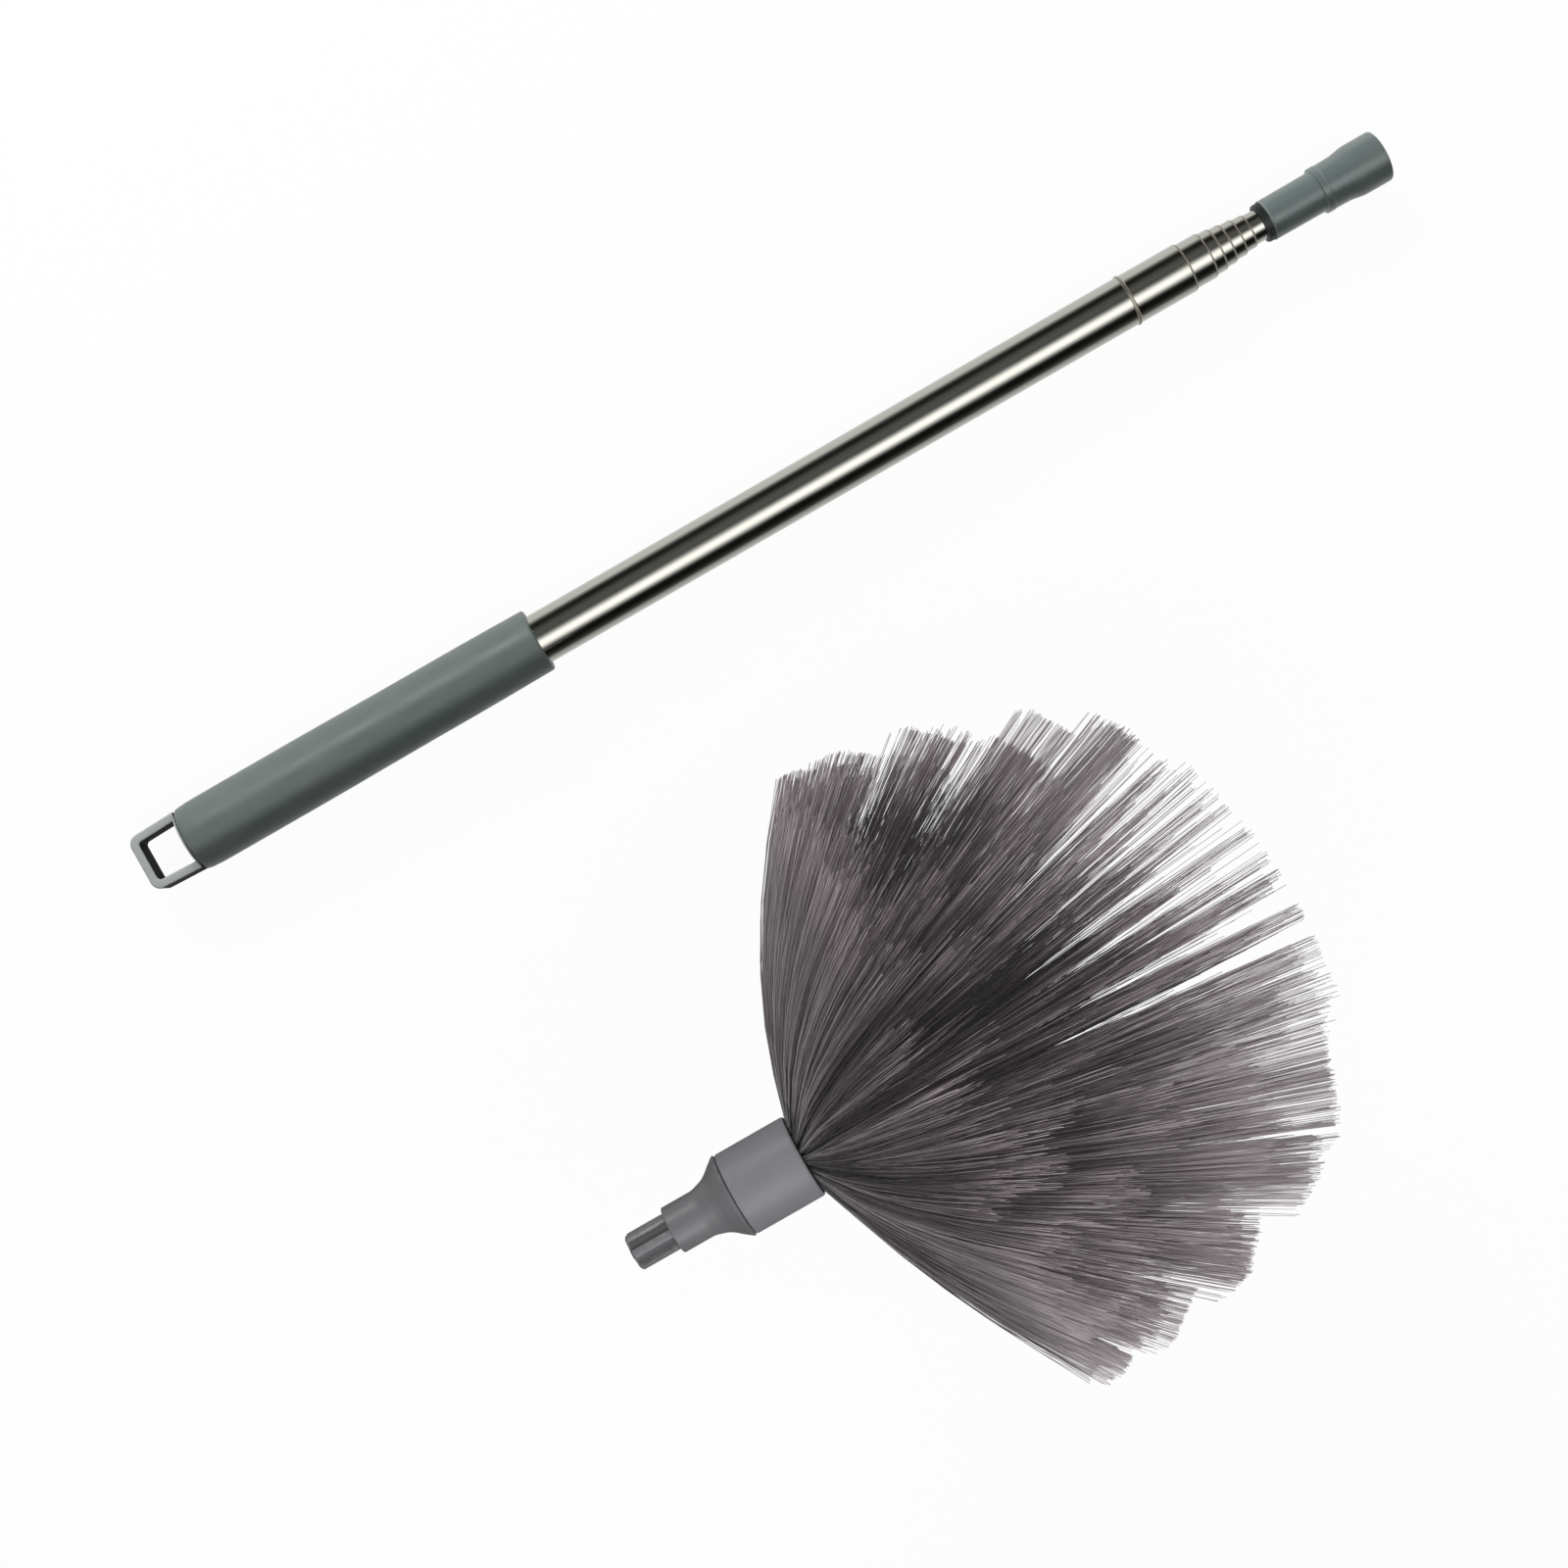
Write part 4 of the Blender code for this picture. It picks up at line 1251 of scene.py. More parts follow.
@dataclass
class Ferrule(Assembly):
    """Plain cup in front of the flare, which holds the bristle block."""

    slot: Slot = Slot.HEAD
    body: Body = Body.HEAD
    axis: Point = HEAD_AXIS
    sides: int = 128
    start: float = 44.4 * MM
    length: float = 29.2 * MM
    radius: float = 16.65 * MM
    wall: float = 1.2 * MM
    floor: float = 2.0 * MM
    hole: float = 4.6 * MM

    def build(self) -> None:
        """Build and dress the cup."""
        rear = HEAD_TIP.x + self.start
        front = rear + self.length
        bore = self.radius - self.wall
        corners = [
            Corner(rear, self.hole, 0.2 * MM),
            Corner(rear, self.radius, 0.6 * MM),
            Corner(front - 0.9 * MM, self.radius, 0.4 * MM),
            Corner(front, self.radius - 0.35 * MM, 0.3 * MM),
            Corner(front, bore, 0.3 * MM),
            Corner(rear + self.floor, bore, 0.3 * MM),
            Corner(rear + self.floor, self.hole, 0.2 * MM),
        ]
        self.turned("ferrule_cup", corners, Paint.HEAD, "ferrule")


@dataclass(frozen=True)
class Tuft:
    """One tuft of strands.

    Attributes:
        hole: How far its hole lies from the head's axis.
        lean: How far it leans off the axis, in radians.
        turn: Its place round the axis, in radians.
        half_lean: Half its spread away from the axis, in radians.
        half_turn: Half its spread round the axis, in radians.
        length: Its share of the full length.
        tone: How much paler it is than the rest.
    """

    hole: float
    lean: float
    turn: float
    half_lean: float
    half_turn: float
    length: float
    tone: float


@dataclass
class BristleDome(Assembly):
    """The bristle block and its tufts of filaments, trimmed to a squarish dome.

    Each tuft stands in a hole of the block and fans out to a flat-cut end. The
    further out its hole, the more it leans. Angles that are given in degrees are
    plan angles off the head's axis, as the camera sees them.

    Attributes:
        ring_phase_share: How far each ring of holes is turned against the last.
        skew: How much further the upper outline leans than the lower one.
        partings: Middle and half width, in degrees, of each gap between tufts.
        thinned: Middle and half width, in degrees, of the fan's thin part, with the
            share of its strands that are shorter.
        painted_shade_and_light: Middle and spread in degrees, distance and depth from the block, and
            amount of each patch of painted shade, where an amount below 0 is a patch of painted light.
        rim: Distances from the block between which tips turn paler, and how much.
        hole_scatter: Spread of one clump's strands round their hole, in radians.
        hole_jitter: How far a hole stands off its even place, in gaps between holes.
        lean_jitter: How far a tuft leans off its ring's angle, in half spreads.
        lean_spread: How much the spread of a tuft away from the axis varies.
        turn_spread: The same for its spread round the axis.
        cuts: How much shorter a tuft is, at the least and at the most, by how rare it
            is: the first pair for all, and the rest for draws above the number.
        clump_spread: How far apart clumps of strands stand, in half spreads of a tuft.
        strand_spread: The same for the strands of one clump.
        bow_range: How much the bow of a strand varies.
        dull_tones: The two powers of the beta spread of the tones of most strands.
        clump_fade: How much of a clump's own tone is gone at its tips.
        least_shade: How much of the painted shade and painted light each strand takes at the least.
        chance: The seeded source of every random draw.
    """

    slot: Slot = Slot.BRISTLE
    body: Body = Body.HEAD
    axis: Point = HEAD_AXIS
    sides: int = 96
    face: float = 74.5 * MM
    block_radius: float = 15.15 * MM
    block_rear: float = 47.0 * MM
    outer_ring: float = 14.0 * MM
    ring_tufts: tuple[int, ...] = (1, 6, 12, 18, 24, 30, 36)
    ring_phase_share: float = 0.31
    tuft_strands: int = 112
    dome_depth: float = 206.0 * MM
    dome_half_width: float = 129.5 * MM
    squareness: float = 2.8
    tip_angle: float = math.radians(65.5)
    leave_angle: float = math.radians(76)
    skew: float = math.radians(2.2)
    leave_skew: float = 1.4
    stray_angle: float = math.radians(3.5)
    bow_share: float = 0.45
    strand_sides: int = 3
    stations: int = 7
    root_radius: float = 0.36 * MM
    tip_radius: float = 0.115 * MM
    clumps: int = 9
    combed_share: float = 0.82
    partings: tuple[Point, ...] = (
        (66.0, 0.6), (38.0, 0.35), (19.6, 1.3), (16.6, 0.5), (13.2, 0.7), (10.4, 0.4), (7.9, 1.0),
        (4.6, 0.6), (1.8, 0.4), (-1.6, 1.1), (-5.6, 0.8), (-9.0, 0.4), (-27.0, 0.4), (-60.6, 0.8),
    )
    thinned: tuple[float, float, float] = (5.0, 16.0, 0.62)
    painted_shade_and_light: tuple[tuple[float, ...], ...] = (
        (18.0, 13.0, 84 * MM, 36 * MM, 0.80), (3.0, 7.0, 104 * MM, 30 * MM, 0.55),
        (-13.0, 8.0, 90 * MM, 30 * MM, 0.35), (40.0, 12.0, 112 * MM, 44 * MM, 0.55),
        (3.0, 8.0, 142 * MM, 34 * MM, 0.55), (0.0, 24.0, 66 * MM, 22 * MM, 0.25),
        (36.0, 12.0, 136 * MM, 34 * MM, 0.32), (-20.0, 9.0, 108 * MM, 40 * MM, 0.24),
        (0.0, 7.0, 30 * MM, 20 * MM, 0.40), (-25.0, 16.0, 28 * MM, 20 * MM, -0.30),
        (54.0, 12.0, 56 * MM, 32 * MM, -0.30),
        (64.0, 14.0, 62 * MM, 65 * MM, -0.75), (-61.0, 5.0, 92 * MM, 44 * MM, -0.70),
        (-64.2, 2.6, 110 * MM, 80 * MM, -0.90), (69.0, 2.6, 100 * MM, 90 * MM, -0.70),
        (0.0, 90.0, 10 * MM, 42 * MM, -0.20),
    )
    rim: tuple[float, float, float] = (126 * MM, 205 * MM, 0.95)
    core_reach: float = 4.2 * MM
    hole_edge: float = 0.6 * MM
    hole_radius: float = 0.62 * MM
    hole_fill: float = 0.13 * MM
    hole_scatter: float = 0.30
    centre_lean: float = 1e-3
    edge_lean: float = 0.945
    hole_jitter: float = 0.18
    lean_jitter: float = 0.35
    lean_spread: Point = (0.85, 1.15)
    turn_spread: Point = (0.8, 1.15)
    cuts: tuple[tuple[float, float, float], ...] = (
        (0.0, 0.0, 0.035), (0.93, 0.12, 0.24), (0.72, 0.05, 0.11),
    )
    clump_spread: float = 0.32
    strand_spread: float = 0.72
    trim: float = 0.008
    stray_odds: float = 0.025
    stray_lengths: Point = (0.72, 0.97)
    thin_lengths: Point = (0.55, 0.98)
    bow_range: Point = (0.85, 1.12)
    sway: float = 0.8 * MM
    comb_reach: float = 3.0
    comb_power: float = 1.3
    bright_odds: float = 0.28
    bright_tones: Point = (0.65, 1.1)
    dull_tones: Point = (1.1, 3.4)
    tuft_tone: float = 0.09
    clump_tone: float = 0.56
    clump_fade: float = 0.9
    least_shade: float = 0.7
    thickness_range: Point = (0.8, 1.25)
    floor_gap: float = 0.35 * MM
    seed: int = 11
    chance: np.random.Generator = field(init=False)

    def __post_init__(self) -> None:
        """Start the random draws."""
        self.chance = np.random.default_rng(self.seed)

    def root(self) -> np.ndarray:
        """The middle of the block's face."""
        return np.array([HEAD_TIP.x + self.face, HEAD_TIP.y, HEAD_TIP.z])

    def dome(self, angle: np.ndarray) -> np.ndarray:
        """Distance from the block's face to the trimmed dome.

        Args:
            angle: Angles off the head's axis, in radians.

        Returns:
            The distances.
        """
        along = np.abs(np.cos(angle) / self.dome_depth) ** self.squareness
        across = np.abs(np.sin(angle) / self.dome_half_width) ** self.squareness
        return (along + across) ** (-1 / self.squareness)

    def tufts(self) -> list[Tuft]:
        """Lay out every tuft, ring by ring; a few are cut short.

        Returns:
            The tufts.
        """
        laid = []
        rings = len(self.ring_tufts)
        for ring, count in enumerate(self.ring_tufts):
            reach = ring / (rings - 1)
            lean = min(reach, self.edge_lean) * self.tip_angle
            half_lean = self.tip_angle / (rings - 1) / 2
            half_turn = math.pi / count
            for index in range(count):
                place = index + 0.5 + self.ring_phase_share * ring ** 2
                place += self.chance.uniform(-self.hole_jitter, self.hole_jitter)
                draw = self.chance.random()
                short = self.chance.uniform(*self.cuts[0][1:])
                for above, least, most in self.cuts[1:]:
                    if draw > above:
                        short = self.chance.uniform(least, most)
                        break
                aside = self.chance.uniform(-self.lean_jitter, self.lean_jitter)
                laid.append(Tuft(
                    hole=reach * (self.outer_ring - self.hole_edge),
                    lean=max(0.0, lean + half_lean * aside),
                    turn=2 * math.pi * place / count,
                    half_lean=half_lean * self.chance.uniform(*self.lean_spread),
                    half_turn=half_turn * self.chance.uniform(*self.turn_spread),
                    length=1 - short,
                    tone=self.chance.uniform(-self.tuft_tone, self.tuft_tone),
                ))
        return laid

    def sighted(self, points: np.ndarray) -> tuple[np.ndarray, np.ndarray, np.ndarray]:
        """Carry points along the lines of sight to the level of the block's middle.

        Args:
            points: Points off the middle of the block's face, as (strand, station, 3).

        Returns:
            The plan of the points at that level, the eye's plan place and the scale used.
        """
        eye = np.array(VIEW_FROM) - self.root()
        scale = (eye[2] / (eye[2] - points[:, :, 2]))[:, :, None]
        return eye[:2] + (points[:, :, :2] - eye[:2]) * scale, eye[:2], scale

    def combed(self, points: np.ndarray) -> np.ndarray:
        """Comb strands out of the partings, where the floor shows between tufts.

        Args:
            points: Points off the middle of the block's face, as (strand, station, 3).

        Returns:
            The points, swung about the vertical.
        """
        plan, eye, scale = self.sighted(points)
        angle = np.degrees(np.arctan2(plan[:, -1, 1], plan[:, -1, 0]))
        swing = np.zeros(len(angle))
        for middle, half in self.partings:
            off = angle - middle
            reach = self.comb_reach * half
            moved = half + np.abs(off) * (reach - half) / reach
            swing += np.where(np.abs(off) < reach, np.sign(off) * moved - off, 0.0)
        swing = np.where(self.chance.random(len(angle)) < self.combed_share, swing, 0.0)
        share = np.linspace(0, 1, self.stations)[None, :]
        swung = np.radians(swing)[:, None] * share ** self.comb_power
        cos_t, sin_t = np.cos(swung), np.sin(swung)
        moved = np.stack([
            plan[:, :, 0] * cos_t - plan[:, :, 1] * sin_t,
            plan[:, :, 0] * sin_t + plan[:, :, 1] * cos_t,
        ], axis=2)
        combed = points.copy()
        combed[:, :, :2] = eye + (moved - eye) / scale
        return combed

    def shade(self, points: np.ndarray) -> np.ndarray:
        """How much painted shade and painted light each point takes, and how much paler the rim turns.

        Args:
            points: Points off the middle of the block's face, as (strand, station, 3).

        Returns:
            The amount of painted shade for each strand and station; where it is below 0 the strand is
            paler, from painted light and from the paler rim.
        """
        plan = self.sighted(points)[0]
        angle = np.degrees(np.arctan2(plan[:, :, 1], plan[:, :, 0]))
        reach = np.hypot(plan[:, :, 0], plan[:, :, 1])
        total = np.zeros(angle.shape)
        for middle, spread, far, depth, amount in self.painted_shade_and_light:
            total += amount * np.exp(-((angle - middle) / spread) ** 2 - ((reach - far) / depth) ** 2)
        near, far, amount = self.rim
        return total - amount * np.clip((reach - near) / (far - near), 0, 1)

    def _lengths(self, tuft: Tuft, lean: np.ndarray, around: np.ndarray) -> np.ndarray:
        """Lengths of one tuft's strands, cut flat and no further than the dome.

        Args:
            tuft: The tuft.
            lean: How far each strand leans.
            around: The place of each strand round the axis.

        Returns:
            The lengths.
        """
        count = len(lean)
        middle = self.dome(np.array([tuft.lean]))[0] * tuft.length
        off = np.cos(lean - tuft.lean) * np.cos((around - tuft.turn) * np.sin(lean))
        length = np.minimum(middle / np.maximum(off, 0.9), self.dome(lean))
        length = length * (1 - self.trim * self.chance.random(count))
        stray = self.chance.random(count) > 1 - self.stray_odds
        length = np.where(stray, length * self.chance.uniform(*self.stray_lengths, count), length)
        plan = np.degrees(np.arctan2(np.sin(lean) * np.sin(around), np.cos(lean)))
        middle, half, odds = self.thinned
        sparse = (np.abs(plan - middle) < half) & (self.chance.random(count) < odds)
        return np.where(sparse, length * self.chance.uniform(*self.thin_lengths, count), length)

    def _paths(self, tuft: Tuft) -> tuple[np.ndarray, np.ndarray]:
        """Paths of one tuft's strands, which leave their hole steeply and bow over.

        Args:
            tuft: The tuft.

        Returns:
            Points off the middle of the block's face, as (strand, station, 3), and the
            clump that each strand belongs to.
        """
        count = self.tuft_strands
        clump = self.chance.integers(0, self.clumps, count)
        place = self.chance.uniform(-self.clump_spread, self.clump_spread, (self.clumps, 2))[clump]
        place = place + self.chance.uniform(-self.strand_spread, self.strand_spread, (count, 2))
        if tuft.lean < self.centre_lean:
            lean = np.abs(place[:, 0]) * tuft.half_lean
            around = self.chance.uniform(0, 2 * math.pi, count)
        else:
            lean = tuft.lean + place[:, 0] * tuft.half_lean
            around = tuft.turn + place[:, 1] * tuft.half_turn
        limit = self.tip_angle - self.skew * np.sin(around)
        limit = limit + self.stray_angle * self.chance.random(count) ** 3
        lean = np.clip(lean, -limit, limit)
        spot = self.chance.uniform(0, 2 * math.pi, self.clumps)[clump]
        spot = spot + self.chance.normal(0, self.hole_scatter, count)
        within = np.sqrt(self.chance.random(self.clumps))[clump] * self.hole_radius
        within = within + self.chance.random(count) * self.hole_fill
        length = self._lengths(tuft, lean, around)
        steepest = self.leave_angle + self.leave_skew * self.skew * np.sin(around)
        leave = np.clip(lean / self.tip_angle, 0, 1) * steepest
        tip_x, tip_r = np.cos(lean) * length, np.sin(lean) * length
        bow = self.bow_share * self.chance.uniform(*self.bow_range, count)
        bow = np.hypot(tip_x, tip_r - tuft.hole) * bow
        mid_x = np.cos(leave) * bow
        mid_r = tuft.hole + np.sin(leave) * bow
        share = np.linspace(0, 1, self.stations)[None, :]
        rest = 1 - share
        fade = rest ** 2
        flat_x = mid_x[:, None] * 2 * share * rest + tip_x[:, None] * share ** 2
        flat_x = np.where(share == 0, -self.hole_edge, flat_x)
        flat_r = tuft.hole * fade + tip_r[:, None] * share ** 2 + mid_r[:, None] * 2 * share * rest
        sway = self.chance.normal(0, self.sway, (count, 1)) * np.sin(np.pi * share)
        cos_a = np.cos(around)[:, None] * (1 - fade) + math.cos(tuft.turn) * fade
        sin_a = np.sin(around)[:, None] * (1 - fade) + math.sin(tuft.turn) * fade
        points = np.stack([
            flat_x,
            flat_r * sin_a + sway * cos_a + (np.cos(spot) * within)[:, None] * fade,
            -flat_r * cos_a + sway * sin_a + (np.sin(spot) * within)[:, None] * fade,
        ], axis=2)
        return self.combed(points), clump

    def strands(self, tuft: Tuft) -> tuple[np.ndarray, np.ndarray]:
        """Paths and tones of one tuft's strands, with painted shade and painted light in the tones.

        Args:
            tuft: The tuft.

        Returns:
            Points as (strand, station, 3) and a tone with painted shade and light for each strand and
            station.
        """
        points, clump = self._paths(tuft)
        count = len(clump)
        share = np.linspace(0, 1, self.stations)[None, :]
        bright = self.chance.random(count) < self.bright_odds
        pale = self.chance.uniform(*self.bright_tones, count)
        tones_shade_and_light = np.where(bright, pale, self.chance.beta(*self.dull_tones, count))
        grouped = self.chance.normal(0, self.clump_tone, self.clumps)[clump] + tuft.tone
        tones_shade_and_light = tones_shade_and_light[:, None] + grouped[:, None] * (1 - self.clump_fade * share)
        # The dark patches paint shade into the tones, and the pale patches paint light.
        taken = self.least_shade + (1 - self.least_shade) * self.chance.random((count, 1))
        tones_shade_and_light = tones_shade_and_light - self.shade(points) * taken
        points += self.root()
        np.maximum(points[:, :, 2], FLOOR_HEIGHT + self.floor_gap, out=points[:, :, 2])
        return points, np.clip(tones_shade_and_light, 0, 1)

    def mesh(self, name: str, paths: np.ndarray, tones_shade_and_light: np.ndarray) -> bpy.types.Object:
        """One mesh of closed, slightly tapered strands.

        Args:
            name: The object's name.
            paths: Points as (strand, station, 3).
            tones_shade_and_light: A tone for each strand and station, with painted shade and light in it.

        Returns:
            The new object.
        """
        count, stations, _ = paths.shape
        sides = self.strand_sides
        forward = np.gradient(paths, axis=1)
        forward /= np.linalg.norm(forward, axis=2, keepdims=True)
        across = np.cross(forward, self.chance.normal(size=(count, 1, 3)))
        across /= np.linalg.norm(across, axis=2, keepdims=True)
        third = np.cross(forward, across)
        share = np.linspace(0, 1, stations)
        radius = self.tip_radius + (self.root_radius - self.tip_radius) * (1 - share) ** 2
        radius = radius[None, :, None] * self.chance.uniform(*self.thickness_range, (count, 1, 1))
        rings = [
            paths + radius * (across * math.cos(a) + third * math.sin(a))
            for a in np.arange(sides) * 2 * math.pi / sides
        ]
        points = np.stack(rings, axis=2).reshape(-1, 3)
        start = (np.arange(count) * stations * sides)[:, None, None]
        step = (np.arange(stations - 1) * sides)[None, :, None]
        side = np.arange(sides)[None, None, :]
        after = (side + 1) % sides
        low = start + step
        quads = np.stack([low + side, low + after, low + sides + after, low + sides + side], axis=-1)
        base = start[:, 0, :] + np.arange(sides)[::-1][None, :]
        tip = start[:, 0, :] + (stations - 1) * sides + np.arange(sides)[None, :]
        faces = quads.reshape(-1, 4).tolist() + base.tolist() + tip.tolist()
        mesh = bpy.data.meshes.new(name)
        mesh.from_pydata(points.tolist(), [], faces)
        mesh.polygons.foreach_set("use_smooth", [len(face) == 4 for face in faces])
        tone = mesh.attributes.new("strand_tone_shade_and_light", "FLOAT", "POINT")
        tone.data.foreach_set("value", np.repeat(tones_shade_and_light, sides, axis=1).ravel().astype(np.float32))
        along = mesh.attributes.new("strand_share", "FLOAT", "POINT")
        along.data.foreach_set("value", np.tile(np.repeat(share, sides), count).astype(np.float32))
        mesh.update()
        return placed(name, mesh)

    def build(self) -> None:
        """Build and dress the block and every group of tufts."""
        groups: dict[str, list] = {}
        for tuft in self.tufts():
            sector = int(tuft.turn % (2 * math.pi) // (math.pi / 3)) + 1
            node = "bristle_core" if tuft.hole < self.core_reach else f"bristle_sector_{sector}"
            groups.setdefault(node, []).append(self.strands(tuft))
        for node in sorted(groups):
            paths, tones_shade_and_light = (np.concatenate(parts) for parts in zip(*groups[node]))
            piece = self.mesh(node.replace("bristle", "filament"), paths, tones_shade_and_light)
            self.enlist(piece, Paint.BRISTLE, node)
            piece.visible_glossy = False
        face = HEAD_TIP.x + self.face
        rear = HEAD_TIP.x + self.block_rear
        self.turned("tuft_block", (
            Corner(rear, 0.0),
            Corner(rear, self.block_radius, 0.4 * MM),
            Corner(face - 0.8 * MM, self.block_radius, 0.6 * MM),
            Corner(face - 0.1 * MM, self.block_radius * 0.8, 0.6 * MM),
            Corner(face, 0.0),
        ), Paint.BLOCK, closed=False)


@dataclass(frozen=True)
class Lamp:
    """One soft lamp.

    Attributes:
        place: Where it stands.
        aim: The point that it faces.
        size: Its width and height.
        power: Its power in watts.
        pieces: The first letters of the names of the pieces that it lights.
        only: The one kind of light that it gives, diffuse or glossy, or both if empty.
    """

    name: str
    place: tuple[float, float, float]
    aim: tuple[float, float, float]
    size: Point
    power: float
    pieces: tuple[str, ...]
    only: str = ""


HEAD_PIECES = ("plug", "ferrule", "tuft", "filament", "hub_screw")


@dataclass
class Studio:
    """Floor, world, lamps and camera.

    Attributes:
        look_at: The point at the middle of the picture.
        roll: How far the camera is turned about its line of sight, in degrees.
        focal_pixels: Its focal length in pixels of the picture.
        floor_white: How much of its own white the floor shows to the camera and in gloss.
        floor_bounce: How pale the floor is for the light that it throws back.
        paper: The paler and darker level of the floor where light falls on it.
        reflected_floor_shade: Levels of the floor as gloss sees it, across the 150 mm beside the pole:
            painted shade, darker towards -Y, that the steel reflects.
        strip_glossy: Strength of the overhead strip in gloss.
        strip_diffuse: Its strength as a lamp.
        bands: Levels of the strip by degrees from overhead, towards +Y.
    """

    lamps: tuple[Lamp, ...] = (
        Lamp("key_softbox", (0.25, 1.33, 0.85), (0.3, 0.0, 0.0), (1.3, 0.6), 17.0,
             ("loop", "grip", "socket", "rear_bush", "studio_floor"), "diffuse"),
        Lamp("grip_strip", (0.12, 0.76, 1.08), (0.12, 0.0, 0.0), (0.9, 0.15), 6.0,
             ("loop", "grip"), "glossy"),
        Lamp("head_left_softbox", (0.15, 1.0, 0.80), (0.2, -0.23, 0.1), (1.0, 0.4), 8.5, HEAD_PIECES),
        Lamp("head_right_softbox", (0.25, -1.20, 0.98), (0.2, -0.23, 0.1), (1.0, 0.3), 8.0, HEAD_PIECES),
        Lamp("bristle_front_softbox", (0.30, -0.20, 1.50), (0.3, -0.23, 0.1), (0.9, 0.9), 6.5,
             ("filament",)),
    )
    look_at: tuple[float, float, float] = (0.2516, -0.1044, 0.0)
    roll: float = 29.87
    focal_pixels: float = 2623.6
    picture_pixels: float = 1600.0
    sensor: float = 36.0
    floor_size: float = 9.0
    floor_middle: Point = (0.3, -0.15)
    floor_white: float = 0.95
    floor_bounce: float = 0.22
    paper: tuple[float, float] = (0.90, 0.93)
    reflected_floor_shade: tuple[Point, ...] = (
        (0.0, 0.03), (0.4, 0.08), (0.6, 0.20), (0.76, 0.42), (0.87, 0.62), (1.0, 0.90),
    )
    strip_glossy: float = 2.0
    strip_diffuse: float = 0.40
    bands: tuple[Point, ...] = (
        (-90, 0.009), (-78, 0.005), (-65, 0.004), (-57, 0.03), (-47, 0.32), (-37, 0.85), (-30, 1.0),
        (-20, 1.0), (-12, 0.66), (-3, 0.22), (6, 0.06), (22, 0.07), (36, 0.055), (50, 0.018), (61, 0.008),
        (71, 0.03), (83, 0.22), (90, 0.38),
    )

    def camera(self) -> None:
        """Place the camera at the photograph's viewing angle."""
        data = bpy.data.cameras.new("photograph_view")
        data.sensor_width = self.sensor
        data.sensor_fit = "HORIZONTAL"
        data.lens = self.focal_pixels / self.picture_pixels * self.sensor
        data.clip_start = 0.01
        data.clip_end = 50.0
        camera = placed("photograph_view", data)
        place = Vector(VIEW_FROM)
        back = (place - Vector(self.look_at)).normalized()
        angle = math.radians(self.roll)
        right = Vector((math.cos(angle), -math.sin(angle), 0.0))
        right = (right - back * right.dot(back)).normalized()
        up = back.cross(right)
        turned = Matrix((right, up, back)).transposed().to_4x4()
        camera.matrix_world = Matrix.Translation(place) @ turned
        bpy.context.scene.camera = camera

    def floor(self) -> None:
        """Lay a pale floor that shows white and keeps a soft shadow.

        The camera sees the white world through it, so a head that is lifted in line
        with the pole still shows its lower half, which lies under the floor's level.
        """
        maker = bmesh.new()
        bmesh.ops.create_grid(maker, x_segments=4, y_segments=4, size=self.floor_size)
        floor = finished("studio_floor", maker)
        floor.location = (*self.floor_middle, FLOOR_HEIGHT)
        material = bpy.data.materials.new("studio_floor")
        sheet = cleared(material)
        grain = sheet.add("ShaderNodeTexNoise", {"Scale": 3.0, "Detail": 2.0}).outputs[0]
        tint = sheet.blend(grain, *((level,) * 3 for level in self.paper))
        ray = sheet.add("ShaderNodeLightPath").outputs
        direct, gloss = ray["Is Camera Ray"], ray["Is Glossy Ray"]
        seen = sheet.math("MAXIMUM", direct, gloss)
        seen = sheet.math("MAXIMUM", seen, ray["Is Transmission Ray"])
        bounce = sheet.blend(seen, (self.floor_bounce,) * 3, tint)
        matt = sheet.add("ShaderNodeBsdfDiffuse", {"Color": bounce})
        # In gloss the floor's glow is painted darker towards -Y beside the pole: painted shade that the
        # steel reflects.
        side = sheet.split(sheet.surface("Position"))[1]
        stops = [(at, (level,) * 3) for at, level in self.reflected_floor_shade]
        reflected_floor_shade = sheet.ramp(sheet.span(side, -0.15, 0.0), stops)
        hidden = sheet.math("MULTIPLY", gloss, sheet.math("SUBTRACT", 1.0, reflected_floor_shade))
        shaded_glow = sheet.math("SUBTRACT", 1.0, hidden)
        glow = sheet.add("ShaderNodeEmission", {"Color": (1.0, 1.0, 1.0, 1.0), "Strength": shaded_glow})
        share = sheet.math("MULTIPLY", seen, self.floor_white)
        clear = sheet.add("ShaderNodeBsdfTransparent")
        white = sheet.add("ShaderNodeMixShader", {0: direct, 1: glow.outputs[0], 2: clear.outputs[0]})
        mixed = sheet.add("ShaderNodeMixShader", {0: share, 1: matt.outputs[0], 2: white.outputs[0]})
        sheet.add("ShaderNodeOutputMaterial", {"Surface": mixed.outputs[0]})
        floor.data.materials.append(material)

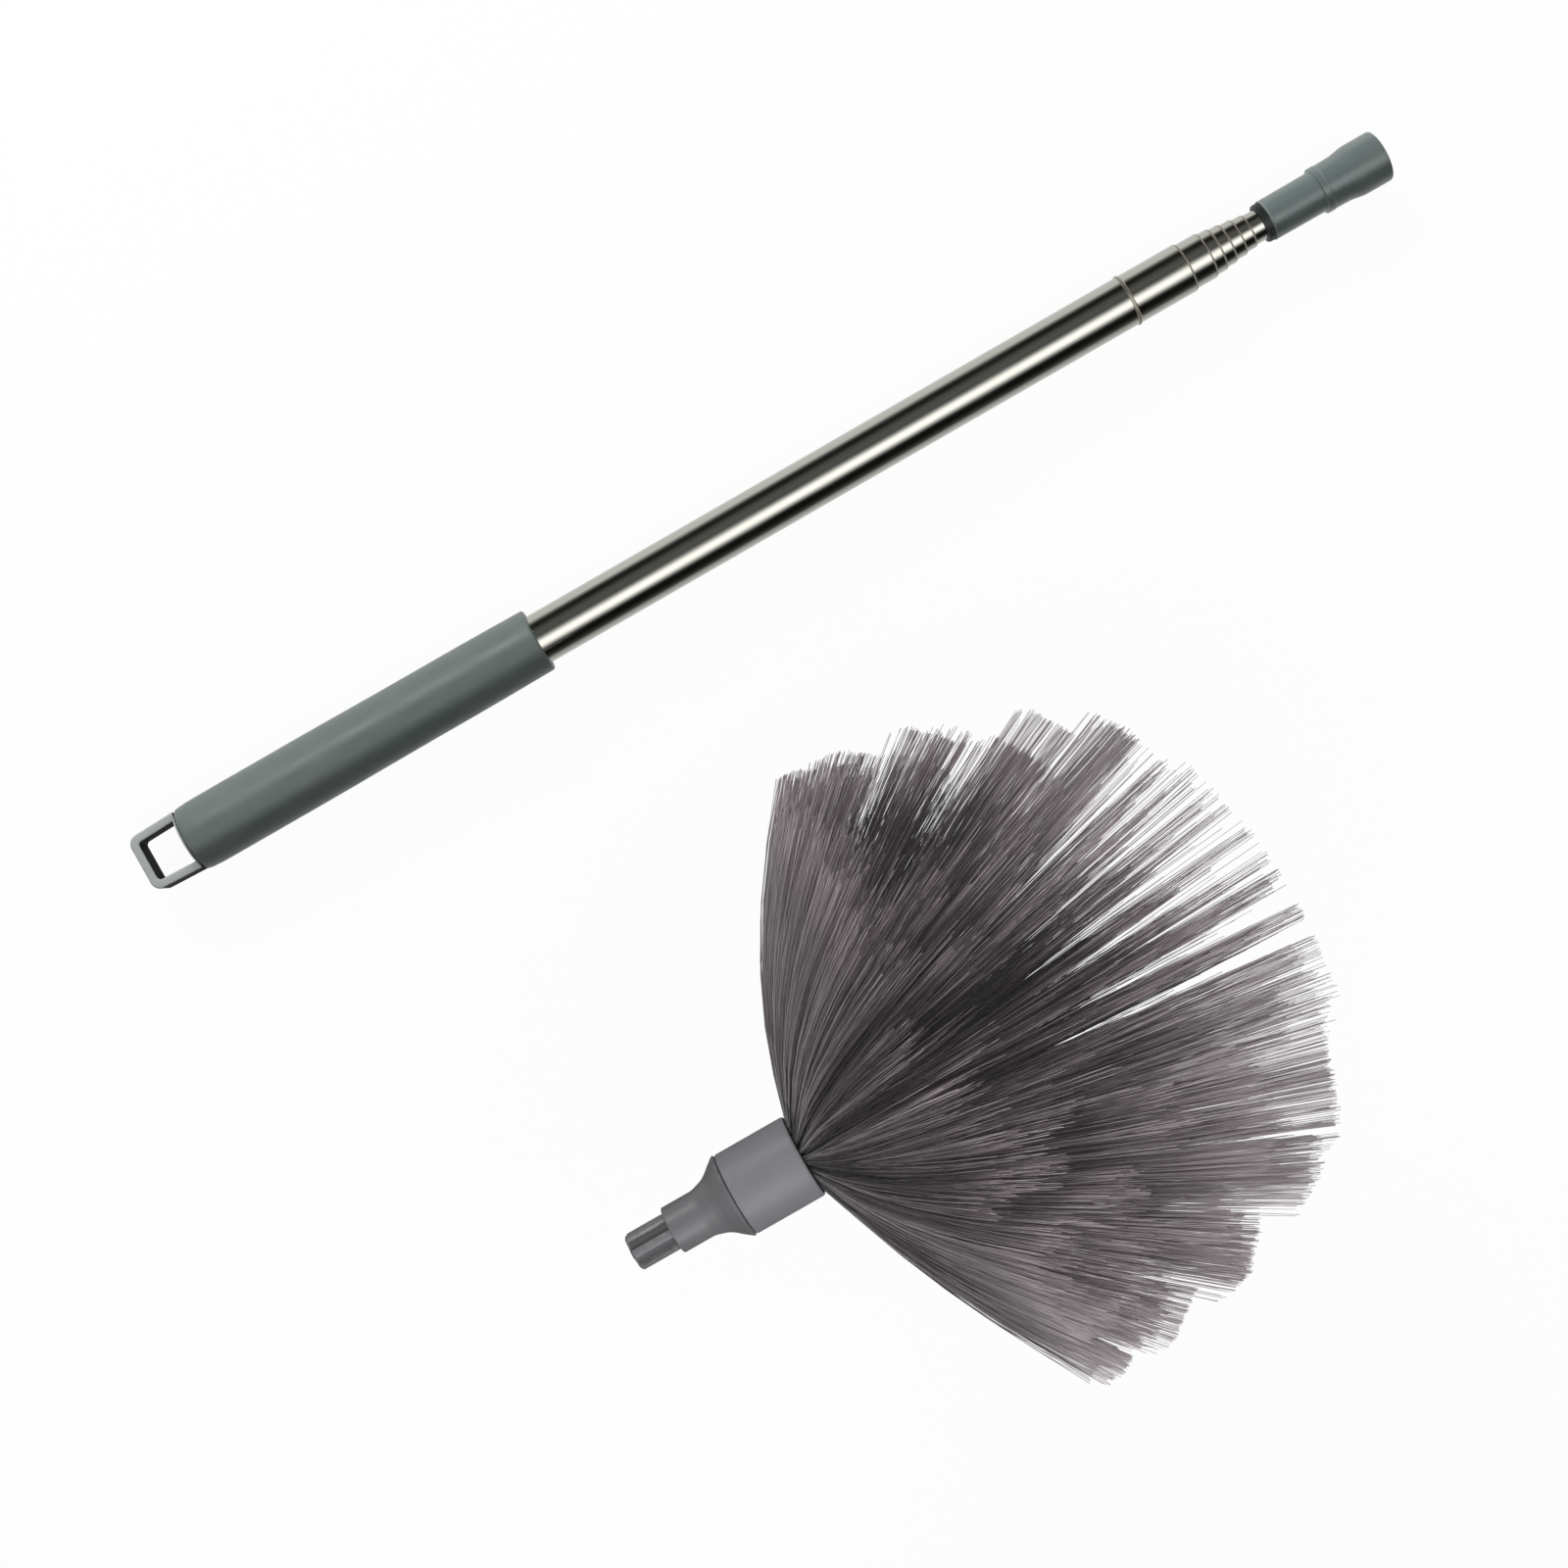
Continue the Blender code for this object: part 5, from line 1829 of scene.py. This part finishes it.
    def world(self) -> None:
        """Surround the object with a dark studio that has one long soft strip overhead."""
        world = bpy.data.worlds.new("studio")
        bpy.context.scene.world = world
        sheet = cleared(world)
        parts = sheet.split(sheet.add("ShaderNodeTexCoord").outputs["Generated"])
        tilt = sheet.math("ARCTAN2", parts[1], parts[2])
        place = sheet.math("ADD", sheet.math("DIVIDE", tilt, math.pi), 0.5, clamp=True)
        stops = [((degrees + 90) / 180, (level,) * 3) for degrees, level in self.bands]
        strip = sheet.ramp(place, stops)
        ray = sheet.add("ShaderNodeLightPath").outputs
        level = sheet.span(ray["Is Diffuse Ray"], 0.0, 1.0, self.strip_glossy, self.strip_diffuse)
        strip = sheet.add("ShaderNodeVectorMath", {0: strip, 3: level}, operation="SCALE").outputs[0]
        total = sheet.blend(ray["Is Camera Ray"], strip, (1.0, 1.0, 1.0))
        back = sheet.add("ShaderNodeBackground", {"Color": total, "Strength": 1.0})
        sheet.add("ShaderNodeOutputWorld", {"Surface": back.outputs[0]})

    def lamp(self, lamp: Lamp) -> None:
        """Add one soft lamp that lights only its own pieces.

        Args:
            lamp: The lamp's place, aim, size, power and pieces.
        """
        data = bpy.data.lights.new(lamp.name, "AREA")
        data.shape = "RECTANGLE"
        data.size, data.size_y = lamp.size
        data.energy = lamp.power
        made = placed(lamp.name, data)
        made.location = lamp.place
        way = Vector(lamp.aim) - Vector(lamp.place)
        made.rotation_euler = way.to_track_quat("-Z", "Y").to_euler()
        made.visible_glossy = lamp.only != "diffuse"
        made.visible_diffuse = lamp.only != "glossy"
        lit = bpy.data.collections.new(f"{lamp.name}_receivers")
        for piece in bpy.data.objects:
            if piece.name.startswith(lamp.pieces):
                lit.objects.link(piece)
        made.light_linking.receiver_collection = lit

    def build(self) -> None:
        """Build the whole studio."""
        bpy.context.scene.view_settings.view_transform = "Standard"
        self.camera()
        self.floor()
        self.world()
        for lamp in self.lamps:
            self.lamp(lamp)
        LOG.info("studio ready")


def main() -> None:
    """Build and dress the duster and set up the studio."""
    logging.basicConfig(level=logging.INFO, format="%(name)s: %(message)s")
    effects = Effects()
    materials = {paint: paint.value.material(effects) for paint in Paint}
    for assembly in (HangingLoop, GripSleeve, Pole, TipSocket, PlugAdapter, Ferrule, BristleDome):
        assembly(materials).build()
    Studio().build()


if __name__ == "__main__":
    main()
